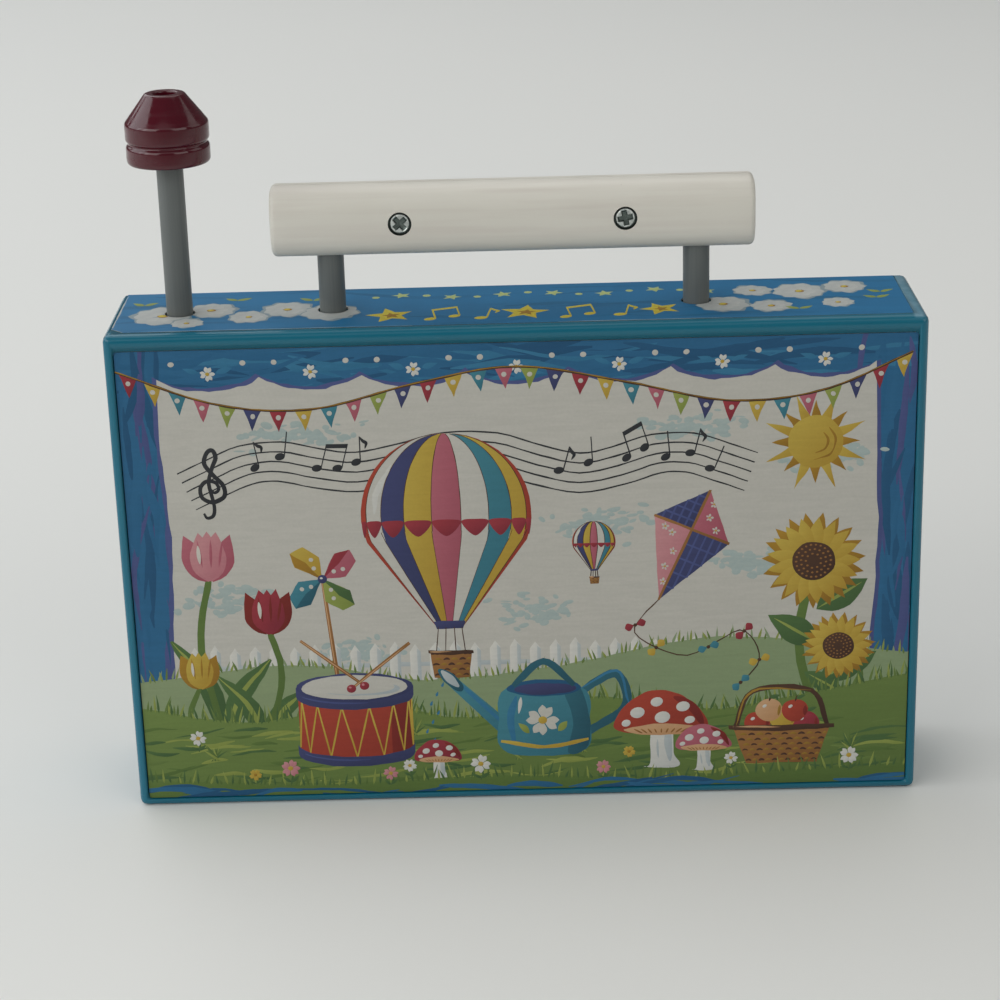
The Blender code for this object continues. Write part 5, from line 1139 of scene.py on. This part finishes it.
def boat(sheet, x, y, size):
    """A toy sailing boat with two sails and a pennant."""
    draw = pen_at(sheet, x, y, size, usual_stray=0.1)
    draw("brown", brush([(0, 0.1), (0, 1.75)], 0.06, 0.05))
    for ink, corners in (("cream", [(0.06, 0.3), (0.06, 1.6), (0.85, 0.34)]),
                         ("rose", [(-0.06, 0.3), (-0.06, 1.4), (-0.66, 0.34)]),
                         ("pink", [(-0.06, 0.3), (-0.06, 0.9), (-0.35, 0.32)]),
                         ("crimson", [(0, 1.75), (0.34, 1.66), (0, 1.56)])):
        draw(ink, dense(corners, 0.2))
    draw("red", smooth_path([(-0.9, 0.24), (-0.62, -0.12), (0.62, -0.12), (0.95, 0.24), (0, 0.17)],
                            closed=True))
    draw("navy", brush([(-0.84, 0.14), (0, 0.05), (0.88, 0.14)], 0.09, 0.1))


def seaside_sheet(first, last, height, turns):
    """The picture belt: a bay with hills, trees and boats that runs on round the whole loop."""
    sheet = [(dense([(first, 0), (last, 0), (last, height), (first, height)], 6.0), "sky")]
    strokes(sheet, ("sky", "sky_shade", "mist"), (first, 42), (last, height), 2, 34, 2.0, 150, 91)
    for number, x in enumerate(np.arange(first + 12, last, 44.0)):
        level, size = 82 + 4 * math.sin(number * 2.4), 9.5 + 2.2 * math.sin(number * 1.7)
        for dx, dy, r in ((-1.1, 0, 0.6), (-0.45, 0.35, 0.8), (0.35, 0.3, 0.85), (1.05, 0, 0.6),
                          (0, -0.1, 0.9)):
            paint(sheet, "white", oval(x + dx * size, level + dy * size * 0.6, r * size, r * size * 0.55))
    for number in range(14):
        paint(sheet, "yellow", petal(50, 68, 13.5 if number % 2 else 11, 3.0, 360 * number / 14, 0.9))
    paint(sheet, "yellow", oval(50, 68, 7.4, 7.4, points=36))
    across = np.linspace(first - 4, last + 4, 15)
    hills = np.stack([across, 52 + 5.5 * np.sin(across / 17)], 1)
    meadow(sheet, "hill", hills, ("hill", "lime"), 2.5, 93, 1.8)
    paint(sheet, "teal", dense([(first - 3, -1), (last + 3, -1), (last + 3, 42), (first - 3, 42)], 6))
    strokes(sheet, ("lake", "teal_shade", "mist", "teal"), (first, 12), (last, 41), 0, 16, 0.9, 220, 95)
    boat(sheet, 84, 31, 17)
    boat(sheet, 34, 38, 8)
    boat(sheet, 196, 33, 13)
    shore = np.stack([across, 23 + 4.5 * np.sin(across / 21 + 2)], 1)
    meadow(sheet, "green", shore, ("green", "lime", "moss"), 4.0, 97, 1.4)
    strokes(sheet, ("moss", "lime", "green"), (first, 0), (last, 17), 3, 12, 1.0, 150, 99)
    for x, foot, size, ink, shade in ((119, 20, 25, "green", "leaf"), (15, 16, 21, "leaf", "dark_leaf"),
                                      (-60, 18, 23, "green", "leaf"), (222, 17, 22, "leaf", "dark_leaf")):
        round_tree(sheet, x, foot, size, ink, shade)
    for number, x in enumerate(np.arange(first + 9, last - 5, 11.5)):
        ink = ("white", "pink", "yellow")[number % 3]
        daisy(sheet, x, 8 + 4 * math.sin(number * 2.2), 2.9, ink, 8, "gold", 4.5)
    for start, end in turns:
        folds = np.linspace(start, end, 19)
        for near, far in zip(folds, folds[1:]):
            sheet.append((np.array([(near, 0), (far, 0), (far, height), (near, height)]), "fold"))
    return sheet


belt_low, belt_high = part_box("picture_belt")
belt_radius = (belt_high.y - belt_low.y) / 2
belt_thickness = 0.0004
belt_y = (belt_high.y + belt_low.y) / 2
belt_ends = (belt_low.x + belt_radius, belt_high.x - belt_radius)
belt_run = (belt_ends[1] - belt_ends[0]) * drawn_per_metre
belt_arc = math.pi * belt_radius * drawn_per_metre


def round_the_rollers(points):
    """Drawing (x, y, depth) wrapped on the loop, x from the front run's start, at the farther roller.

    The front run is straight for belt_run. Then a half circle of length belt_arc leads to the back run,
    and another one on to the start. On an arc of the length a from its start, the angle is a / radius.
    """
    along = points[:, 0] % (2 * belt_run + 2 * belt_arc)
    radius = belt_radius + points[:, 2] * belt_thickness
    first_angle = np.clip((along - belt_run) / belt_arc, 0, 1) * math.pi
    last_angle = np.clip((along - 2 * belt_run - belt_arc) / belt_arc, 0, 1) * math.pi
    front = np.clip(along, 0, belt_run) / drawn_per_metre
    back = np.clip(along - belt_run - belt_arc, 0, belt_run) / drawn_per_metre
    x = belt_ends[1] - front + back - radius * np.sin(first_angle) + radius * np.sin(last_angle)
    y = belt_y + radius * np.cos(first_angle + last_angle)
    return np.stack([x, y, belt_low.z + points[:, 1] / drawn_per_metre], 1)


seam_gap = 0.2
belt_first = -belt_arc - belt_run / 2 + seam_gap
belt_last = belt_run + belt_arc + belt_run / 2
belt_drawing = seaside_sheet(belt_first, belt_last, (belt_high.z - belt_low.z) * drawn_per_metre,
                             ((-belt_arc, 0.0), (belt_run, belt_run + belt_arc)))
belt_print = place_points(printed_mesh("belt_print", belt_drawing), round_the_rollers)
belt_print.materials.append(bright_print)
belt_print.materials.append(plain_card)
finish_piece("belt_print", belt_print, None, "case", ["picture_belt"])


# Rods: the two handle posts and the antenna are one stock, grey extruded rod cut to length with its ends
# eased.
def turned_mesh(name, profile, centre, sides=72, axis="z"):
    """A profile of (radius, height) points turned about an upright axis, or one along Y for axis y.

    Point (i, j) lies at radius_i from the axis, at the angle 2 pi j / sides and at height_i along it.
    """
    radius, height = np.array(profile, float).T
    angle = np.linspace(0, 2 * math.pi, sides, endpoint=False)
    across = radius[:, None] * np.cos(angle)
    along = radius[:, None] * np.sin(angle)
    up = np.repeat(height[:, None], sides, axis=1)
    if axis == "z":
        points = np.stack([across, along, up], axis=-1)
    else:
        points = np.stack([across, up, along], axis=-1)
    return grid_mesh(name, points + np.array(centre), wrap_columns=True)


def middle(node):
    """The centre of a node's box."""
    low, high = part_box(node)
    return (low + high) / 2


# Extruded rod: satin grey, with fine lines along it from the die. They are drawn about 0.5 mm apart, coarser
# than real ones, to show.
grey_rod, tree, shader, places = new_material("grey extruded rod")
drawn_out = add_node(tree, "ShaderNodeMapping", {"Vector": places, "Scale": (2200.0, 2200.0, 25.0)})
die_lines = add_node(tree, "ShaderNodeTexNoise", {"Vector": drawn_out.outputs["Vector"], "Scale": 1.0,
                                                  "Detail": 3.0})
tint = add_node(tree, "ShaderNodeMix", {0: die_lines.outputs["Fac"], 6: linear("#585c5b"),
                                        7: linear("#686d6c")}, data_type="RGBA")
tree.links.new(tint.outputs[2], shader.inputs["Base Color"])
bump = add_node(tree, "ShaderNodeBump", {"Height": die_lines.outputs["Fac"], "Distance": 0.00006,
                                         "Strength": 0.5})
tree.links.new(bump.outputs["Normal"], shader.inputs["Normal"])
set_values(shader, Roughness=0.42, IOR=1.49)
rod_ease = 0.0004
for node, body in (("handle_post_left", "case"), ("handle_post_right", "case"), ("antenna_rod", "antenna")):
    low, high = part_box(node)
    radius = (high.x - low.x) / 2
    centre = middle(node)
    profile = [(0, high.z), (radius - rod_ease, high.z), (radius, high.z - rod_ease),
               (radius, low.z + rod_ease), (radius - rod_ease, low.z), (0, low.z)]
    mesh = turned_mesh(node, profile, (centre.x, centre.y, 0))
    finish_piece(f"{node}_stock", mesh, grey_rod, body, [node])


# Handle: two ivory styrene mouldings that close round the posts, held by two screws from behind. The
# seam runs along the top and the underside.
def cut_away(piece, tool):
    """The piece without the tool's space, as a plain mesh; the tool is removed."""
    step = piece.modifiers.new("cut", "BOOLEAN")
    step.operation = "DIFFERENCE"
    step.object = tool
    graph = bpy.context.evaluated_depsgraph_get()
    made = bpy.data.meshes.new_from_object(piece.evaluated_get(graph))
    piece.modifiers.remove(step)
    piece.data = made
    bpy.data.objects.remove(tool)
    return piece


handle_low, handle_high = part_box("handle_rear_half")
handle_half_height = (handle_high.z - handle_low.z) / 2
handle_half_depth = -handle_low.y
handle_half_length = (handle_high.x - handle_low.x) / 2
handle_centre_z = (handle_high.z + handle_low.z) / 2
seam_half = -handle_high.y
handle_roundness = 2.8
end_round = 0.0017


def handle_half_mesh(name, side):
    """Half of a rounded bar. Its section is |y / a| ** n + |z / b| ** n = 1, cut off at the seam.

    The first parameter runs along the bar, where a and b shrink by a quarter circle at each end. The
    second runs from the underside over the outside to the top, and back down the flat seam face.
    """
    turn = np.linspace(0, math.pi / 2, 7)
    shrink = end_round * (1 - np.sin(turn))
    reach = handle_half_length - end_round + end_round * np.cos(turn)
    along = np.concatenate([-reach, np.linspace(-reach[-1], reach[-1], 40)[1:-1], reach[::-1]])
    less = np.concatenate([shrink, np.zeros(38), shrink[::-1]])
    angle = np.linspace(-math.pi / 2, math.pi / 2, 61)
    power = 2 / handle_roundness
    out = np.abs(np.cos(angle)) ** power
    up = np.sign(np.sin(angle)) * np.abs(np.sin(angle)) ** power
    outside = np.maximum(out[None, :] * (handle_half_depth - less[:, None]), seam_half)
    height = up[None, :] * (handle_half_height - less[:, None])
    inner = np.linspace(1, -1, 13)[1:-1]
    seam_height = inner[None, :] * (handle_half_height - less[:, None])
    y = side * np.hstack([outside, np.full_like(seam_height, seam_half)])
    z = handle_centre_z + np.hstack([height, seam_height])
    x = np.repeat(along[:, None], y.shape[1], axis=1)
    return grid_mesh(name, np.stack([x, y, z], axis=-1), wrap_columns=True, caps=True)


# Ivory styrene: a warm satin white. Use has left greyish streaks along the bar, 2 to 3 mm apart, and a few
# dark nicks under 1 mm across, about 14 mm from each other.
ivory_styrene = moulded_plastic("streaked ivory styrene", "#dad7ce", "#d2cfc5", 0.4, 0.03, 0.2)
tree = ivory_styrene.node_tree
shader = tree.nodes["Principled BSDF"]
places = tree.nodes["Texture Coordinate"].outputs["Object"]
lengthwise = add_node(tree, "ShaderNodeMapping", {"Vector": places, "Scale": (22.0, 420.0, 420.0)})
streak = add_node(tree, "ShaderNodeTexNoise", {"Vector": lengthwise.outputs["Vector"], "Scale": 1.0,
                                               "Detail": 4.0})
streak_share = add_node(tree, "ShaderNodeMapRange", {"Value": streak.outputs["Fac"], "From Min": 0.42,
                                                     "From Max": 0.7, "To Min": 0.0, "To Max": 0.4})
streaked = add_node(tree, "ShaderNodeMix", {0: streak_share.outputs["Result"],
                                            6: shader.inputs["Base Color"].links[0].from_socket,
                                            7: linear("#c6beb6")}, data_type="RGBA")
nearest = add_node(tree, "ShaderNodeTexVoronoi", {"Vector": places, "Scale": 70.0})
nick_share = add_node(tree, "ShaderNodeMapRange", {"Value": nearest.outputs["Distance"], "From Min": 0.03,
                                                   "From Max": 0.016, "To Min": 0.0, "To Max": 0.7})
nicked = add_node(tree, "ShaderNodeMix", {0: nick_share.outputs["Result"], 6: streaked.outputs[2],
                                          7: linear("#6f675e")}, data_type="RGBA")
tree.links.new(nicked.outputs[2], shader.inputs["Base Color"])
# Painted shade lines the wells and the recesses: dull grey with darker grains.
recess_painted_shade = worked_metal("painted recess shade", "#7b8581", "#3d4643", 0.4, 0.0004)
counterbore_radius = 0.00348
counterbore_depth = 0.0018
cut_overrun = 0.001
handle_screws = ("handle_screw_left", "handle_screw_right")
for node, side in (("handle_rear_half", -1), ("handle_front_half", 1)):
    half = finish_piece(f"{node}_moulding", handle_half_mesh(node, side), ivory_styrene, "case",
                        [node])
    if side < 0:
        for screw_node in handle_screws:
            place = middle(screw_node)
            floor_y = handle_low.y + counterbore_depth
            start_y = handle_low.y - cut_overrun
            well = [(0, start_y), (counterbore_radius, start_y), (counterbore_radius, floor_y), (0, floor_y)]
            tool_mesh = turned_mesh("counterbore", well, (place.x, 0, place.z), axis="y")
            shape = bmesh.new()
            shape.from_mesh(tool_mesh)
            bmesh.ops.remove_doubles(shape, verts=shape.verts, dist=1e-7)
            bmesh.ops.recalc_face_normals(shape, faces=shape.faces)
            shape.to_mesh(tool_mesh)
            shape.free()
            tool = bpy.data.objects.new("counterbore", tool_mesh)
            bpy.context.scene.collection.objects.link(tool)
            cut_away(half, tool)
        half.data.set_sharp_from_angle(angle=math.radians(35))
        # The wells' faces are painted dark, as shade.
        half.data.materials.append(recess_painted_shade)
        centres = np.zeros(len(half.data.polygons) * 3, np.float32)
        half.data.polygons.foreach_get("center", centres)
        centres = centres.reshape(-1, 3)
        away = [np.hypot(centres[:, 0] - middle(screw).x, centres[:, 2] - middle(screw).z)
                for screw in handle_screws]
        near_a_screw = np.min(away, axis=0) < counterbore_radius * 1.001
        in_well = near_a_screw & (centres[:, 1] > handle_low.y + 0.0001)
        half.data.polygons.foreach_set("material_index", in_well.astype(np.int32))


# Handle screws: zinc-plated pan heads with a cross recess, driven down into their counterbores. Painted
# shade darkens the recesses.
def screw_mesh(name, head_y, centre, head_radius, head_height, shank_radius, length, turn):
    """A pan-head screw along Y, head towards -Y, with its cross turned.

    The head's height over radius r is h (1 - 0.22 (r / R) ** 2) (1 - (r / R) ** 14) ** 0.5. A cross is
    pressed into it: with s the lesser of max(|x| / a, |z| / b) and max(|x| / b, |z| / a), it is deep by
    d (1 - 0.6 r / a) times (1 - s) / 0.3, or times 1 where that is more.
    """
    radius = np.linspace(0, 1, 52) ** 0.9 * head_radius
    angle = np.linspace(0, 2 * math.pi, 144, endpoint=False)
    x, z = radius[:, None] * np.cos(angle), radius[:, None] * np.sin(angle)
    share = radius[:, None] / head_radius
    height = head_height * (1 - 0.22 * share ** 2) * np.clip(1 - share ** 14, 0, 1) ** 0.5
    arm, width, depth = 0.0026, 0.00085, 0.0013
    cross = np.minimum(np.maximum(np.abs(x) / arm, np.abs(z) / width),
                       np.maximum(np.abs(x) / width, np.abs(z) / arm))
    sunk = np.clip((1 - cross) / 0.3, 0, 1)
    pressed = depth * sunk * (1 - 0.6 * np.minimum(radius[:, None] / arm, 1))
    head = np.stack([x, pressed - height, z], axis=-1)
    below = np.array([(shank_radius, 0.0), (shank_radius, length), (0.0, length + shank_radius)])
    shank = np.stack([below[:, :1] * np.cos(angle), np.repeat(below[:, 1:], angle.size, axis=1),
                      below[:, :1] * np.sin(angle)], axis=-1)
    points = np.vstack([head, shank])
    points = points @ np.array(Matrix.Rotation(math.radians(turn), 3, "Y"))
    mesh = grid_mesh(name, points + np.array([centre.x, head_y, centre.z]), wrap_columns=True)
    # Faces deep in the cross recess are painted dark, as shade.
    inner = (sunk + np.roll(sunk, -1, axis=1))[:-1] + (sunk + np.roll(sunk, -1, axis=1))[1:]
    shaded_faces = np.zeros(len(mesh.polygons), np.int32)
    shaded_faces[:inner.size] = (inner > 1.6).ravel()
    mesh.materials.append(zinc_plate)
    mesh.materials.append(recess_painted_shade)
    mesh.polygons.foreach_set("material_index", shaded_faces)
    return mesh


head_height = 0.0016
head_clearance = 0.00005
shank_radius = 0.00125
for node, turn in zip(handle_screws, (42.0, 11.0)):
    low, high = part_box(node)
    head_y = handle_low.y + counterbore_depth - head_clearance
    mesh = screw_mesh(node, head_y, middle(node), (high.x - low.x) / 2, head_height, shank_radius,
                      high.y - head_y - shank_radius, turn)
    finish_piece(f"{node}_plated", mesh, None, "case", [node], sharp=40.0)


# Antenna knob: a glossy maroon styrene knob pressed on to the rod. It has a dimpled top, a cone, a band, a
# groove and a foot ring, all with eased edges.
knob_low, knob_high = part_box("antenna_knob")
knob_radius = (knob_high.x - knob_low.x) / 2
knob_height = knob_high.z - knob_low.z
knob_centre = middle("antenna_knob")


def eased(profile, ease, steps=4):
    """A profile with its corners rounded: each one becomes a curve between points at most ease away.

    The curve is quadratic, (1 - t) ** 2 a + 2 t (1 - t) b + t ** 2 c, from a before the corner b to c
    after it.
    """
    points = [np.array(point, float) for point in profile]
    made = [points[0]]
    for before, corner, after in zip(points, points[1:], points[2:]):
        back, forth = before - corner, after - corner
        start = corner + back * min(ease / np.linalg.norm(back), 0.45)
        end = corner + forth * min(ease / np.linalg.norm(forth), 0.45)
        share = np.linspace(0, 1, steps + 1)[:, None]
        made += list((1 - share) ** 2 * start + 2 * share * (1 - share) * corner + share ** 2 * end)
    return made + [points[-1]]


knob_profile = [(0, 0.842), (0.274, 0.842), (0.274, 1.0), (0.468, 1.0), (0.99, 0.585), (0.99, 0.345),
                (0.91, 0.298), (0.99, 0.25), (0.99, 0.045), (0.95, 0.0), (0.345, 0.0), (0.345, 0.72),
                (0, 0.72)]
outer = [(share_r * knob_radius, knob_low.z + share_z * knob_height) for share_r, share_z in knob_profile]
knob_edge = 0.0006
mesh = turned_mesh("antenna_knob", eased(outer, knob_edge), (knob_centre.x, knob_centre.y, 0), sides=96)
finish_piece("antenna_knob_turning", mesh, maroon_styrene, "antenna", ["antenna_knob"])

# Winding knob: a fluted ivory styrene moulding on the front, pressed on to its arbor. Its face is dished
# and its skirt has scallops for the fingers.
wind_low, wind_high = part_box("winding_knob")
wind_centre = middle("winding_knob")
wind_radius = (wind_high.x - wind_low.x) / 2


def fluted_mesh(name, profile, flutes, depth):
    """A profile of (radius, y) points turned about Y, whose skirt is scalloped.

    At the angle t the radius is less by depth (1 - cos(flutes t)) / 2, times the cube of the radius's
    share of the full one.
    """
    radius, along = np.array(profile, float).T
    angle = np.linspace(0, 2 * math.pi, 24 * flutes, endpoint=False)
    scallop = depth * (1 - np.cos(flutes * angle)) / 2
    spread = radius[:, None] - scallop * (radius[:, None] / radius.max()) ** 3
    points = np.stack([spread * np.cos(angle), np.repeat(along[:, None], angle.size, axis=1),
                       spread * np.sin(angle)], axis=-1)
    return grid_mesh(name, points + np.array([wind_centre.x, 0, wind_centre.z]), wrap_columns=True)


dish_y = wind_high.y - 0.0008
draught = 0.0006
bore_radius = 0.0023
bore_end_y = wind_low.y + 0.009
wind_profile = [(0, dish_y), (wind_radius * 0.55, dish_y), (wind_radius * 0.72, wind_high.y),
                (wind_radius - draught, wind_high.y), (wind_radius, wind_low.y), (bore_radius, wind_low.y),
                (bore_radius, bore_end_y), (0, bore_end_y)]
wind_edge = 0.0011
flutes, flute_depth = 12, 0.0012
# The same styrene as the handle's, satin and warm white, but less handled and without its streaks.
plain_ivory = moulded_plastic("satin ivory styrene", "#dad7ce", "#d2cfc5", 0.4, 0.03, 0.2)
finish_piece("winding_knob_moulding",
             fluted_mesh("winding_knob", eased(wind_profile, wind_edge), flutes, flute_depth),
             plain_ivory, "winder", ["winding_knob"])
